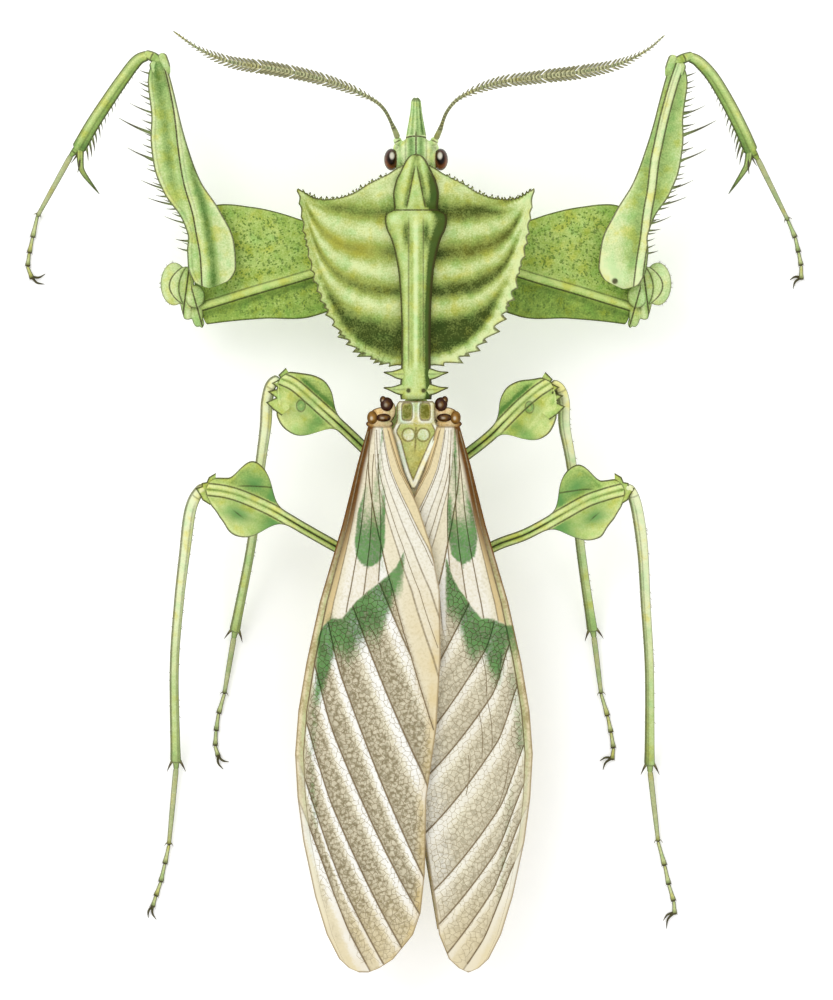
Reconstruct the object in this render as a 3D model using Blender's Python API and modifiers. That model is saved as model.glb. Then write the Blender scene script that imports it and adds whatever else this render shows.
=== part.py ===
"""A still, life-size male giant devil's flower mantis, standing with its forelegs spread.

The scene is in metres, +Z up. The head points along +Y and the animal's right side is at +X. The
origin is on the floor under the middle of the bounding box. Sizes are in millimetres, scaled by MM.
A table of (place, value) pairs runs from 0 to 1 along a limb or a wing, or along Y.
"""

import math

import bmesh
import bpy
from mathutils import Matrix, Vector

MM = 0.001
GAP = 0.35            # clearance between neighbouring solids
EDGE = 0.27           # half thickness of a lamella, a lobe, a spine or a feeler
SHEET = 0.5           # thickness of a wing
WELD = 0.001
SHARP_ANGLE = math.radians(40)
CURVE_STEPS = 12      # steps between two points of a smooth curve
LIMB_STEPS = 61       # points along a limb's middle line

SKIN = {
    "cuticle_green": ((0.33, 0.50, 0.16), 0.45),
    "cuticle_pale": ((0.55, 0.66, 0.28), 0.45),
    "wing": ((0.74, 0.68, 0.50), 0.40),
    "hindwing": ((0.62, 0.52, 0.34), 0.40),
    "abdomen": ((0.52, 0.55, 0.24), 0.50),
    "eye": ((0.16, 0.07, 0.04), 0.15),
    "feeler": ((0.42, 0.42, 0.24), 0.60),
    "wing_root": ((0.30, 0.13, 0.04), 0.35),
}

# Head: from the mouth up to the crown, with a pointed horn in front.
MOUTH = Vector((0, 42.3, 10.9))
CROWN = Vector((0, 42.1, 17.85))
HEAD_LEVELS = (0.0, 0.2, 0.4, 0.6, 0.78, 0.92, 1.0)
HEAD_WIDTH = [(0.0, 0.9), (0.25, 1.45), (0.55, 2.1), (0.8, 2.6), (0.93, 2.5), (1.0, 1.9)]
HEAD_DEPTH = [(0.0, 0.8), (0.3, 1.1), (0.6, 1.5), (0.85, 1.9), (1.0, 1.3)]
HORN_ROOT = Vector((0, 43.2, 16.9))
HORN_TIP = Vector((0, 48.5, 20.0))
HORN_SIZES = [(0.0, (1.2, 0.8)), (0.15, (1.05, 0.75)), (0.55, (0.75, 0.55)), (0.9, (0.42, 0.36)),
              (1.0, (0.34, 0.3))]
EYE_CENTRE = Vector((2.95, 41.4, 16.3))
EYE_HALF = (0.95, 1.35, 1.85)
LABRUM_LINE = [(0, 42.9, 10.5), (0, 42.9, 9.7), (0, 42.7, 8.9)]
LABRUM_SIZES = [(0.85, 0.3), (0.75, 0.32), (0.35, 0.27)]
JAW_LINE = [(0.75, 41.8, 10.5), (0.7, 41.7, 9.8), (0.6, 41.8, 9.1)]
JAW_SIZES = [(0.36, 0.45), (0.33, 0.42), (0.27, 0.3)]
PALP_LINE = [(1.5, 41.2, 10.9), (2.1, 41.1, 10.3), (2.5, 41.9, 9.7), (2.4, 43.2, 9.2), (1.9, 44.2, 8.3)]
PALP_STATIONS = 7
NECK_LINE = [(0, 38.55, 14.8), (0, 39.2, 15.0), (0, 40.0, 15.2)]
NECK_SIZES = [(1.3, 1.0), (1.15, 0.95), (1.05, 0.9)]
ANTENNA_LINES = {
    "left": [(-2.2, 44.0, 17.0), (-2.7, 45.2, 17.9), (-3.8, 47.3, 19.3), (-5.4, 48.6, 20.3),
             (-8.6, 50.0, 21.4), (-12.6, 51.2, 22.2), (-17.2, 52.1, 22.6), (-22.1, 52.9, 22.6),
             (-25.8, 54.4, 22.4), (-29.0, 56.6, 22.1)],
    "right": [(2.4, 43.9, 17.0), (2.9, 45.0, 17.9), (3.8, 47.2, 19.3), (5.6, 48.9, 20.3),
              (9.6, 50.4, 21.4), (14.6, 51.1, 22.2), (19.6, 51.7, 22.6), (24.0, 52.6, 22.6),
              (27.4, 54.2, 22.4), (29.7, 56.1, 22.1)],
}
ANTENNA_STATIONS = 11
COMB_REACH = [(0.0, 0.32), (0.2, 0.36), (0.3, 0.75), (0.55, 0.9), (0.78, 0.6), (0.9, 0.3), (1.0, 0.26)]

# Pronotum: a broad toothed shield across a crest that runs from the tongue in front to the stalk.
SHIELD_CORNER = (14.1, 37.9)
SHIELD_REAR_Y = 16.6
SHIELD_FRONT = [(0.0, 41.0), (1.8, 40.6), (3.6, 39.5), (5.6, 38.5), (7.6, 37.3), (9.6, 36.7), (11.4, 36.6),
                (12.8, 37.1), SHIELD_CORNER]
SHIELD_REAR = [(0.0, SHIELD_REAR_Y), (2.6, 16.8), (5.0, 17.6), (7.2, 18.9), (9.2, 21.0), (10.9, 24.0),
               (12.2, 27.6), (13.0, 30.8), (13.6, 34.4), SHIELD_CORNER]
SHIELD_WALL = 0.6
SHIELD_Z = 18.2       # height of the shield's rim at the front
SHIELD_FALL = 2.0     # how much lower its rear lies
RIM_LIFT = 1.1        # how much the rim curls up
FOLD_HALF = 0.35
FOLD_PITCH = 4.3
FOLD_Y = 23.4         # where a fold crosses the middle line
TEETH_A_SIDE = 13
TOOTH = 0.75
FRONT_TOOTH = 0.18
SHIELD_ROWS = 3
STALK_END_Y = 12.7
CREST_DEPTH = 0.9     # from the shield's upper face down to the crest's underside
CREST_Y = (STALK_END_Y, 13.4, 13.9, 14.6, 15.2, 15.7, 16.4, 20.0, 25.0, 29.0, 31.5, 33.6, 34.6, 35.2)
CREST_HALF = [(STALK_END_Y, 1.9), (18.0, 1.85), (26.0, 2.1), (31.0, 2.9), (33.6, 3.6), (34.6, 3.6),
              (35.2, 3.2)]
CREST_TOP = [(STALK_END_Y, 17.6), (18.0, 18.0), (26.0, 18.9), (33.0, 19.6), (35.2, 19.3)]
STALK_SPINES_Y = (13.9, 15.7)
STALK_SPINE_REACH = 3.9
STALK_SPINE_HALF = 0.3
TONGUE_Y = (34.9, 36.0, 38.0, 40.0, 41.6, 42.4)
TONGUE_HALF = [(35.6, 2.7), (37.5, 2.6), (39.6, 2.1), (41.4, 1.3), (42.4, 0.6)]
TONGUE_TOP = [(34.9, 19.3), (38.7, 19.55), (42.4, 19.3)]
TONGUE_BASE = [(34.9, 17.4), (39.0, 17.9), (41.0, 18.5)]

# Thorax, plates and abdomen as (Y, half width, half height, Z) from front to back.
PROTHORAX = [(38.2, 1.9, 1.1, 14.9), (36.0, 2.6, 1.5, 14.2), (33.0, 2.9, 1.8, 13.7), (29.0, 2.4, 1.6, 14.0),
             (25.0, 1.8, 1.3, 14.4), (18.0, 1.5, 1.1, 13.8), (12.8, 1.5, 1.1, 13.5)]
MESOTHORAX = [(12.3, 2.2, 1.7, 14.4), (10.6, 3.3, 2.0, 14.2), (8.0, 3.6, 2.1, 14.0), (3.3, 3.3, 2.0, 13.8)]
METATHORAX = [(2.95, 3.3, 2.0, 13.8), (0.0, 3.4, 2.0, 13.6), (-2.4, 3.1, 1.9, 13.4), (-3.8, 2.7, 1.8, 13.2)]
SCUTELLUM = [(12.1, 1.9, 0.35, 17.2), (10.4, 2.3, 0.45, 17.4), (8.8, 2.1, 0.45, 17.5), (5.0, 0.9, 0.4, 17.6),
             (2.7, 0.27, 0.27, 17.7)]
ABDOMEN_START_Y = -4.2
ABDOMEN_END_Y = -41.0
ABDOMEN_RINGS = 7
RING_FLARE = 1.04
ABDOMEN_HALF = [(0.0, 2.4), (0.16, 3.6), (0.35, 4.1), (0.65, 3.7), (0.85, 2.9), (1.0, 1.7)]
ABDOMEN_HEIGHT = [(0.0, 1.7), (0.3, 2.5), (0.7, 2.1), (1.0, 1.2)]
ABDOMEN_Z = [(0.0, 12.9), (0.4, 11.6), (1.0, 9.2)]
CERCUS_LINE = [(1.1, -41.35, 9.5), (1.8, -43.6, 9.6), (2.1, -46.2, 9.2)]
CERCUS_HALF = (0.34, 0.42, 0.42, 0.36, 0.2)

# Wings, closed over the abdomen with the left one on top. Outlines run from root to tip as (share,
# X): the outer edge as for the right wing, and each wing's inner edge, which crosses the middle.
WING_ROOT_Y = 9.4
WING_TIP_Y = -56.2
WING_OUTER = [(0.0, 5.5), (0.07, 6.8), (0.18, 8.6), (0.32, 11.3), (0.43, 12.9), (0.52, 13.9), (0.6, 14.3),
              (0.68, 14.0), (0.76, 13.3), (0.86, 11.9), (0.93, 10.5), (0.975, 9.0), (0.992, 7.8), (1.0, 6.6)]
WING_INNER = {
    "left": [(0.0, -2.7), (0.08, -1.3), (0.15, 0.6), (0.22, 2.1), (0.3, 3.1), (0.42, 3.2), (0.55, 2.7),
             (0.68, 1.5), (0.82, 1.3), (0.89, 0.8), (0.93, -0.1), (0.975, -2.5), (0.992, -4.2), (1.0, -5.5)],
    "right": [(0.0, 2.7), (0.08, 1.3), (0.15, -0.6), (0.22, -1.9), (0.3, -2.6), (0.42, -2.6), (0.55, -1.5),
              (0.68, 0.4), (0.8, 1.8), (0.88, 2.6), (0.93, 3.0), (0.975, 4.2), (0.992, 5.4), (1.0, 6.5)],
}
WING_SHIFT = -0.25    # the closed wings sit a little to the left of the middle line
WING_CROWN = [(0.0, 17.9), (0.2, 17.6), (0.45, 16.2), (0.75, 13.6), (1.0, 11.2)]
WING_DROP = [(0.0, 0.9), (0.2, 2.6), (0.5, 4.2), (0.8, 3.2), (1.0, 1.0)]
WING_BOW = 1.8        # how suddenly the outer part bends down
WING_GRID = (5, 17)
TIP_CROWDING = 1.6    # how much closer the rows lie at the tip
OVERLAP_LIFT = [(-6.0, 0.0), (-2.8, 1.15)]
HINDWING_START_Y = 6.4
HINDWING_TIP_Y = -51.0
HINDWING_INSET = 1.1
HINDWING_DEPTH = 0.95
HINDWING_GRID = (3, 11)
WING_KNOBS = [((3.2, 11.9, 16.6), (0.85, 0.75, 0.6)), ((3.8, 10.6, 16.7), (1.1, 0.9, 0.6)),
              ((4.8, 10.8, 16.4), (0.85, 0.85, 0.6))]

# Feet: half width and half height of the joints that lie on the floor, which they meet in flats.
TOE_HALF_WIDTH = 0.42
TOE_HALF_HEIGHT = 0.42
TOE_Z = 0.25
CLAW_Z = 0.3

# Forelegs.
FORELEGS = {
    "left": {
        "coxa": [(-3.6, 30.9, 13.2), (-12.6, 27.8, 11.2), (-19.5, 25.8, 9.4), (-26.1, 23.8, 8.0)],
        "femur": [(-24.8, 26.1, 11.3), (-25.1, 30.5, 11.6), (-26.0, 34.3, 11.9), (-27.4, 38.2, 12.0),
                  (-28.4, 42.4, 12.0), (-29.2, 46.6, 11.9), (-30.2, 50.8, 11.6), (-31.0, 53.4, 11.4)],
        "tibia": [(-32.1, 54.0, 11.2), (-33.6, 53.4, 10.6), (-35.4, 51.2, 9.7), (-37.2, 48.7, 8.7),
                  (-39.1, 45.9, 7.6), (-40.9, 42.9, 6.5)],
        "toes": [(-41.5, 42.3, 6.1), (-45.8, 34.9, 0.55), (-46.4, 32.3, TOE_Z), (-46.8, 30.4, TOE_Z),
                 (-47.0, 28.8, TOE_Z), (-46.4, 27.3, TOE_Z)],
        "claws": [(-44.8, 28.0), (-44.9, 26.7)],
        "hook": [(-40.1, 40.0, 5.2), (-38.2, 37.5, 4.3)],
    },
    "right": {
        "coxa": [(3.6, 30.9, 13.2), (12.6, 27.8, 11.2), (19.5, 25.8, 9.4), (26.1, 23.8, 8.0)],
        "femur": [(24.9, 26.0, 11.3), (25.5, 30.3, 11.6), (26.4, 34.2, 11.9), (27.6, 38.0, 12.0),
                  (28.6, 42.2, 12.0), (29.5, 46.4, 11.9), (30.6, 50.6, 11.6), (31.4, 53.2, 11.4)],
        "tibia": [(32.7, 53.8, 11.2), (34.0, 53.3, 10.6), (35.7, 51.6, 9.7), (37.6, 48.6, 8.7),
                  (39.4, 45.2, 7.6), (40.6, 42.6, 6.5)],
        "toes": [(41.1, 41.9, 6.1), (45.0, 34.4, 0.55), (45.9, 32.3, TOE_Z), (46.3, 30.5, TOE_Z),
                 (46.6, 28.9, TOE_Z), (46.6, 27.2, TOE_Z)],
        "claws": [(45.2, 27.2), (45.6, 26.1)],
        "hook": [(39.5, 40.2, 5.2), (37.7, 37.5, 4.3)],
    },
}
COXA_STATIONS = (0.0, 0.12, 0.25, 0.37, 0.48, 0.6, 0.72, 0.84, 0.93, 0.97, 1.0)
COXA_RIB = [(0.0, (0.95, 1.5)), (1.0, (0.7, 1.05))]
COXA_FRONT = [(0.0, 1.3), (0.15, 2.8), (0.32, 5.8), (0.45, 7.9), (0.6, 9.7), (0.78, 11.2), (0.9, 10.2),
              (0.97, 5.0), (1.0, 1.5)]
COXA_REAR = [(0.0, 1.3), (0.15, 3.2), (0.3, 5.0), (0.45, 5.0), (0.7, 3.6), (0.9, 2.6), (1.0, 2.2)]
# The trochanter's wedge and outer lobe, measured outward, forward and up from the coxa's tip.
TROCHANTER_LINE = ((1.3, -1.5, 0.5), (1.55, 0.4, 0.7), (1.6, 2.5, 1.0), (1.55, 4.9, 1.4))
TROCHANTER_SIZES = ((0.45, 0.55), (0.7, 0.8), (1.0, 0.75), (0.55, 0.5))
TROCHANTER_LOBE = (3.0, 2.8, 1.1)
TROCHANTER_LOBE_HALF = (1.65, 2.6, 0.95)
FEMUR_STATIONS = (0.0, 0.03, 0.08, 0.15, 0.25, 0.35, 0.45, 0.55, 0.65, 0.76, 0.88, 1.0)
FEMUR_SHAFT = [(0.0, (1.0, 1.25)), (0.5, (1.2, 1.1)), (1.0, (1.0, 0.95))]
FEMUR_KEEL = [(0.0, 1.1), (0.03, 1.9), (0.1, 2.5), (0.17, 2.4), (0.25, 1.9), (0.34, 2.1), (0.45, 3.0),
              (0.55, 3.4), (0.66, 3.2), (0.78, 2.5), (0.92, 2.0), (1.0, 1.0)]
FEMUR_BACK = [(0.0, 1.1), (0.03, 2.5), (0.08, 3.3), (0.18, 3.4), (0.3, 2.7), (0.45, 1.7), (0.58, 1.2),
              (0.76, 0.8), (1.0, 0.8)]
FORE_TIBIA_STATIONS = [n / 6 for n in range(7)]
FORE_TIBIA_SHAFT = [(0.0, (0.55, 0.5)), (1.0, (0.65, 0.58))]
FORE_TIBIA_KEEL = [(0.0, 0.5), (0.15, 0.8), (1.0, 1.0)]
FORE_TIBIA_BACK = [(0.0, 0.7), (1.0, 0.7)]
# Spines as (share along the limb, length), with how far they lean towards its tip.
LONG_SPINES = [(0.3, 2.6), (0.4, 3.1), (0.47, 2.8), (0.59, 3.4), (0.7, 4.4), (0.79, 2.9)]
SHORT_SPINES = [(0.2, 1.3), (0.35, 1.2), (0.53, 1.0), (0.64, 1.0), (0.745, 1.1), (0.84, 1.2), (0.9, 1.0)]
TIBIA_SPINES = [(0.28, 0.7), (0.4, 0.9), (0.5, 1.0), (0.6, 1.2), (0.7, 1.5), (0.8, 1.8), (0.89, 2.4)]
LONG_LEAN = 0.55
SHORT_LEAN = 0.35
SPINE_SPREAD = 0.14   # neighbouring spines lean up and down in turn
HOOK_HALF = (0.42, 0.38, 0.33, 0.28, 0.22, 0.1)

# Walking legs.
WALKING_LEGS = {
    "mid_left": {
        "coxa": [(-1.8, 8.8, 10.7), (-2.5, 7.2, 10.2), (-3.0, 5.6, 9.7)],
        "femur": [(-3.7, 4.4, 10.1), (-6.3, 6.9, 11.6), (-8.5, 9.0, 12.9), (-10.6, 10.9, 14.1),
                  (-12.7, 12.8, 15.2), (-14.6, 14.4, 16.0), (-16.3, 15.2, 16.4)],
        "tibia": [(-17.95, 13.9, 15.85), (-17.8, 12.4, 15.2), (-18.0, 9.4, 13.6), (-18.7, 4.4, 11.1),
                  (-19.7, -4.2, 6.8), (-21.9, -15.4, 1.3)],
        "toes": [(-22.0, -15.9, 1.0), (-23.2, -22.9, 0.45), (-23.9, -25.3, TOE_Z), (-24.2, -27.4, TOE_Z),
                 (-24.3, -29.2, TOE_Z), (-23.9, -30.5, TOE_Z)],
        "claws": [(-22.6, -31.1), (-23.3, -32.0)],
    },
    "mid_right": {
        "coxa": [(1.8, 8.8, 10.7), (2.5, 7.2, 10.2), (3.0, 5.6, 9.7)],
        "femur": [(3.7, 4.4, 10.1), (6.4, 6.3, 11.6), (8.8, 8.2, 12.9), (10.6, 10.0, 14.1),
                  (12.5, 11.9, 15.2), (14.5, 13.6, 16.0), (16.2, 14.7, 16.4)],
        "tibia": [(17.9, 13.6, 15.75), (17.8, 12.4, 15.2), (17.9, 9.4, 13.6), (18.8, 4.4, 11.1),
                  (20.0, -6.0, 6.0), (21.4, -15.3, 1.3)],
        "toes": [(21.5, -15.8, 1.0), (22.4, -22.9, 0.45), (23.2, -25.6, TOE_Z), (23.6, -27.6, TOE_Z),
                 (23.9, -29.5, TOE_Z), (23.7, -30.9, TOE_Z)],
        "claws": [(22.2, -31.0), (22.6, -32.1)],
    },
    "hind_left": {
        "coxa": [(-2.0, -0.6, 10.3), (-2.8, -2.9, 9.9), (-4.0, -6.7, 9.5)],
        "femur": [(-4.7, -7.8, 9.9), (-9.8, -4.9, 11.4), (-13.5, -2.8, 12.4), (-17.1, -0.7, 13.5),
                  (-20.6, 0.9, 14.5), (-22.9, 1.6, 15.0), (-25.2, 1.9, 15.3)],
        "tibia": [(-26.4, 1.6, 15.0), (-27.0, -0.6, 14.1), (-27.7, -5.5, 12.0), (-28.5, -12.0, 9.3),
                  (-29.1, -20.0, 5.9), (-29.0, -31.2, 1.3)],
        "toes": [(-29.0, -31.7, 1.0), (-29.9, -41.2, 0.45), (-30.4, -43.5, TOE_Z), (-30.9, -45.7, TOE_Z),
                 (-31.5, -47.4, TOE_Z), (-31.9, -48.7, TOE_Z)],
        "claws": [(-31.4, -50.2), (-32.4, -50.0)],
    },
    "hind_right": {
        "coxa": [(2.0, -0.6, 10.3), (2.8, -2.9, 9.9), (4.0, -6.7, 9.5)],
        "femur": [(4.7, -7.8, 9.9), (9.3, -5.0, 11.4), (13.2, -3.5, 12.4), (16.9, -1.5, 13.5),
                  (20.3, 0.4, 14.5), (22.8, 1.3, 15.0), (25.0, 1.9, 15.3)],
        "tibia": [(26.3, 1.7, 15.0), (26.6, -0.6, 14.1), (27.3, -5.5, 12.0), (27.7, -12.0, 9.3),
                  (28.2, -20.0, 5.9), (28.3, -31.6, 1.3)],
        "toes": [(28.3, -32.1, 1.0), (29.3, -40.8, 0.45), (30.1, -43.7, TOE_Z), (30.6, -46.0, TOE_Z),
                 (31.2, -48.0, TOE_Z), (31.3, -49.6, TOE_Z)],
        "claws": [(29.9, -50.3), (30.3, -51.3)],
    },
}
COXA_SIZES = ((1.1, 1.0), (1.25, 1.15), (1.15, 1.1), (0.95, 0.95), (0.7, 0.75))
THIGH_SHAFT = [(0.0, (0.6, 0.6)), (0.15, (0.7, 0.7)), (0.5, (0.65, 0.65)), (1.0, (0.85, 0.85))]
LOBES = {
    "mid": {
        "stations": (0.0, 0.2, 0.42, 0.51, 0.57, 0.63, 0.7, 0.77, 0.84, 0.92, 1.0),
        "rear": [(0.44, 0.7), (0.51, 1.6), (0.57, 3.4), (0.64, 4.4), (0.79, 4.5), (0.93, 3.5), (1.0, 1.9)],
        "front": [(0.5, 0.7), (0.61, 1.4), (0.71, 2.3), (0.83, 2.3), (0.91, 1.4), (1.0, 0.9)],
    },
    "hind": {
        "stations": (0.0, 0.25, 0.5, 0.58, 0.64, 0.7, 0.77, 0.83, 0.88, 0.93, 1.0),
        "rear": [(0.52, 0.7), (0.58, 1.2), (0.64, 3.2), (0.7, 4.4), (0.77, 4.7), (0.88, 3.5), (1.0, 1.2)],
        "front": [(0.6, 0.7), (0.66, 1.2), (0.72, 2.7), (0.78, 3.9), (0.84, 4.4), (0.88, 3.4), (0.92, 2.2),
                  (1.0, 1.2)],
    },
}
SHIN_HALF = (0.74, 0.7, 0.64, 0.6, 0.58, 0.6, 0.66)
SHIN_FLATTENING = 0.95
SPUR_AHEAD = 1.5
SPUR_ASIDE = 0.9

RIGHT = Vector((1, 0, 0))
FORWARD = Vector((0, 1, 0))
UP = Vector((0, 0, 1))
SIDES = {"left": -1, "right": 1}


# ---------------------------------------------------------------- scene

def clear_scene():
    for item in list(bpy.data.objects):
        bpy.data.objects.remove(item)


def make_materials():
    made = {}
    for name, (colour, roughness) in SKIN.items():
        mat = bpy.data.materials.new(name)
        mat.use_nodes = True
        shader = mat.node_tree.nodes["Principled BSDF"]
        shader.inputs["Base Color"].default_value = (*colour, 1.0)
        shader.inputs["Roughness"].default_value = roughness
        shader.inputs["Metallic"].default_value = 0.0
        made[name] = mat
    return made


def make_collection(name):
    group = bpy.data.collections.new(name)
    bpy.context.scene.collection.children.link(group)
    return group


def make_root(name):
    """An empty that every part of the animal is parented to."""
    empty = bpy.data.objects.new(name, None)
    PARTS.objects.link(empty)
    return empty


def add_object(name, shell, origin, material):
    """Puts a bmesh given in millimetres in the scene, with its object's origin at `origin`."""
    origin = Vector(origin)
    bmesh.ops.translate(shell, vec=-origin, verts=shell.verts)
    bmesh.ops.scale(shell, vec=(MM, MM, MM), verts=shell.verts)
    mesh = bpy.data.meshes.new(name)
    shell.to_mesh(mesh)
    shell.free()
    mesh.materials.append(MATERIALS[material])
    obj = bpy.data.objects.new(name, mesh)
    obj.location = origin * MM
    obj.parent = ROOT
    PARTS.objects.link(obj)
    return obj


def finish_mesh(name, shell, origin, material):
    """Closes a bmesh, turns its faces outwards and puts it in the scene, shaded smooth."""
    bmesh.ops.remove_doubles(shell, verts=shell.verts, dist=WELD)
    bmesh.ops.recalc_face_normals(shell, faces=shell.faces)
    obj = add_object(name, shell, origin, material)
    obj.data.shade_smooth()
    obj.data.set_sharp_from_angle(angle=SHARP_ANGLE)
    return obj


def apply_modifiers(obj):
    bpy.context.view_layer.update()
    graph = bpy.context.evaluated_depsgraph_get()
    mesh = bpy.data.meshes.new_from_object(obj.evaluated_get(graph))
    obj.modifiers.clear()
    obj.data = mesh


def combine(body, others, operation):
    """Joins solids to a body with "UNION", or cuts them out of it with "DIFFERENCE"."""
    for other in others:
        step = body.modifiers.new(operation.lower(), "BOOLEAN")
        step.operation = operation
        step.solver = "EXACT"
        step.object = other
    apply_modifiers(body)
    for other in others:
        bpy.data.objects.remove(other)
    return body


# ---------------------------------------------------------------- curves and tables

def smooth_points(points, count):
    """`count` evenly spaced points on a smooth curve through `points`."""
    pts = [Vector(p) for p in points]
    pts = [2 * pts[0] - pts[1], *pts, 2 * pts[-1] - pts[-2]]
    fine = []
    for a, b, c, d in zip(pts, pts[1:], pts[2:], pts[3:]):
        for k in range(CURVE_STEPS):
            t = k / CURVE_STEPS
            bend = (2 * a - 5 * b + 4 * c - d) * t * t + (3 * b - a - 3 * c + d) * t ** 3
            fine.append(0.5 * (2 * b + (c - a) * t + bend))
    fine.append(pts[-2])
    far = [0.0]
    for a, b in zip(fine, fine[1:]):
        far.append(far[-1] + (b - a).length)
    out = []
    k = 0
    for i in range(count):
        want = far[-1] * i / (count - 1)
        while k < len(fine) - 2 and far[k + 1] < want:
            k += 1
        share = (want - far[k]) / max(far[k + 1] - far[k], 1e-9)
        out.append(fine[k].lerp(fine[k + 1], min(share, 1.0)))
    return out


def look_up(table, u, eased):
    """The value at u in a table of (place, value) pairs; a value may be a pair of numbers."""
    if u <= table[0][0]:
        return table[0][1]
    for (a, low), (b, high) in zip(table, table[1:]):
        if u <= b:
            t = (u - a) / (b - a)
            t = t * t * (3 - 2 * t) if eased else t
            if isinstance(low, tuple):
                return tuple(p + (q - p) * t for p, q in zip(low, high))
            return low + (high - low) * t
    return table[-1][1]


def eased(table, u):
    return look_up(table, u, True)


def straight(table, u):
    return look_up(table, u, False)


def at(path, u):
    """The point, the tangent and the level sideways direction at share u of a path."""
    place = u * (len(path) - 1)
    k = min(int(place), len(path) - 2)
    ahead = (path[k + 1] - path[k]).normalized()
    return path[k].lerp(path[k + 1], place - k), ahead, ahead.cross(UP).normalized()


def mirrored(points, sign):
    return [Vector((sign * x, y, z)) for x, y, z in points]


# ---------------------------------------------------------------- solids

def round_section(width, height, sides=8):
    """An ellipse of half sizes width and height, with a flat side down."""
    turn = [2 * math.pi * (k + 0.5) / sides for k in range(sides)]
    return [(width * math.sin(a), -height * math.cos(a)) for a in turn]


def winged_section(width, height, left, right, edge=EDGE):
    """A stout shaft with a thin lamella on each side that reaches `left` and `right`."""
    left, right = max(left, width), max(right, width)
    near, shoulder = width * 0.72, height * 0.72
    lip = min(edge, height * 0.5)
    return [
        (right, lip), (near, shoulder), (0, height), (-near, shoulder), (-left, lip),
        (-left, -lip), (-near, -shoulder), (0, -height), (near, -shoulder), (right, -lip),
    ]


def loft(name, path, sections, material, side=None, up=None):
    """A closed body through sections of equal sides, square to the path unless side and up are given."""
    path = [Vector(p) for p in path]
    shell = bmesh.new()
    rings = []
    for i, (centre, section) in enumerate(zip(path, sections)):
        ahead = (path[min(i + 1, len(path) - 1)] - path[max(i - 1, 0)]).normalized()
        across = side or ahead.cross(UP).normalized()
        above = up or across.cross(ahead)
        rings.append([shell.verts.new(centre + across * a + above * b) for a, b in section])
    for first, second in zip(rings, rings[1:]):
        for k in range(len(first)):
            n = (k + 1) % len(first)
            shell.faces.new((first[k], first[n], second[n], second[k]))
    shell.faces.new(rings[0])
    shell.faces.new(rings[-1])
    return finish_mesh(name, shell, path[0], material)


def body_loft(name, stations, material, sides=12):
    """A loft along the body through (Y, half width, half height, Z) stations."""
    path = [(0, y, z) for y, _, _, z in stations]
    sections = [round_section(width, height, sides) for _, width, height, _ in stations]
    return loft(name, path, sections, material, side=RIGHT, up=UP)


def limb_loft(name, points, stations, shaft, left, right, material):
    """A limb with a shaft of half width and height shaft(u) and lamellae that reach left(u) and right(u)."""
    fine = smooth_points(points, LIMB_STEPS)
    path = [at(fine, u)[0] for u in stations]
    sections = [winged_section(*straight(shaft, u), eased(left, u), eased(right, u)) for u in stations]
    return loft(name, path, sections, material), fine


def spike(root, tip, radius=EDGE, sides=4):
    """A cone from a little under `root` to `tip`."""
    root, tip = Vector(root), Vector(tip)
    axis = tip - root
    start = root - axis.normalized() * radius
    turn = axis.to_track_quat("Z", "Y").to_matrix().to_4x4()
    shell = bmesh.new()
    bmesh.ops.create_cone(
        shell, cap_ends=True, segments=sides, radius1=radius, radius2=radius * 0.12,
        depth=(tip - start).length, matrix=Matrix.Translation((start + tip) / 2) @ turn,
    )
    return finish_mesh("spike", shell, root, "cuticle_green")


def ellipsoid(name, centre, half, material, segments, rings):
    shell = bmesh.new()
    bmesh.ops.create_uvsphere(shell, u_segments=segments, v_segments=rings, radius=1.0)
    bmesh.ops.scale(shell, vec=half, verts=shell.verts)
    bmesh.ops.translate(shell, vec=centre, verts=shell.verts)
    return finish_mesh(name, shell, centre, material)


def grid_sheet(across, along, place):
    """An open sheet facing up whose point at (u, v), each from 0 to 1, is place(u, v)."""
    shell = bmesh.new()
    bmesh.ops.create_grid(shell, x_segments=across, y_segments=along, size=0.5)
    for vertex in shell.verts:
        vertex.co = place(vertex.co.x + 0.5, vertex.co.y + 0.5)
    bmesh.ops.remove_doubles(shell, verts=shell.verts, dist=WELD)
    shell.normal_update()
    if sum(face.normal.z for face in shell.faces) < 0:
        bmesh.ops.reverse_faces(shell, faces=shell.faces)
    return shell


def slab(name, across, along, place, thickness, material):
    """A sheet as in grid_sheet, thickened straight down."""
    shell = grid_sheet(across, along, place)
    grown = bmesh.ops.extrude_face_region(shell, geom=list(shell.faces), use_keep_orig=True)["geom"]
    lower = [item for item in grown if isinstance(item, bmesh.types.BMVert)]
    bmesh.ops.translate(shell, vec=(0, 0, -thickness), verts=lower)
    return finish_mesh(name, shell, place(0.5, 0.0), material)


def wing_sheet(name, grid, place, material):
    """A sheet as in grid_sheet, hinged at its root and thickened square to itself."""
    sheet = add_object(name, grid_sheet(*grid, place), place(0.5, 0.0), material)
    wall = sheet.modifiers.new("wall", "SOLIDIFY")
    wall.thickness = SHEET * MM
    wall.offset = -1.0
    return sheet


def stand_on_floor(obj):
    """Flattens what would reach under the floor into flats at floor level."""
    for vertex in obj.data.vertices:
        vertex.co.z = max(vertex.co.z, -obj.location.z)


# ---------------------------------------------------------------- head

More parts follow.
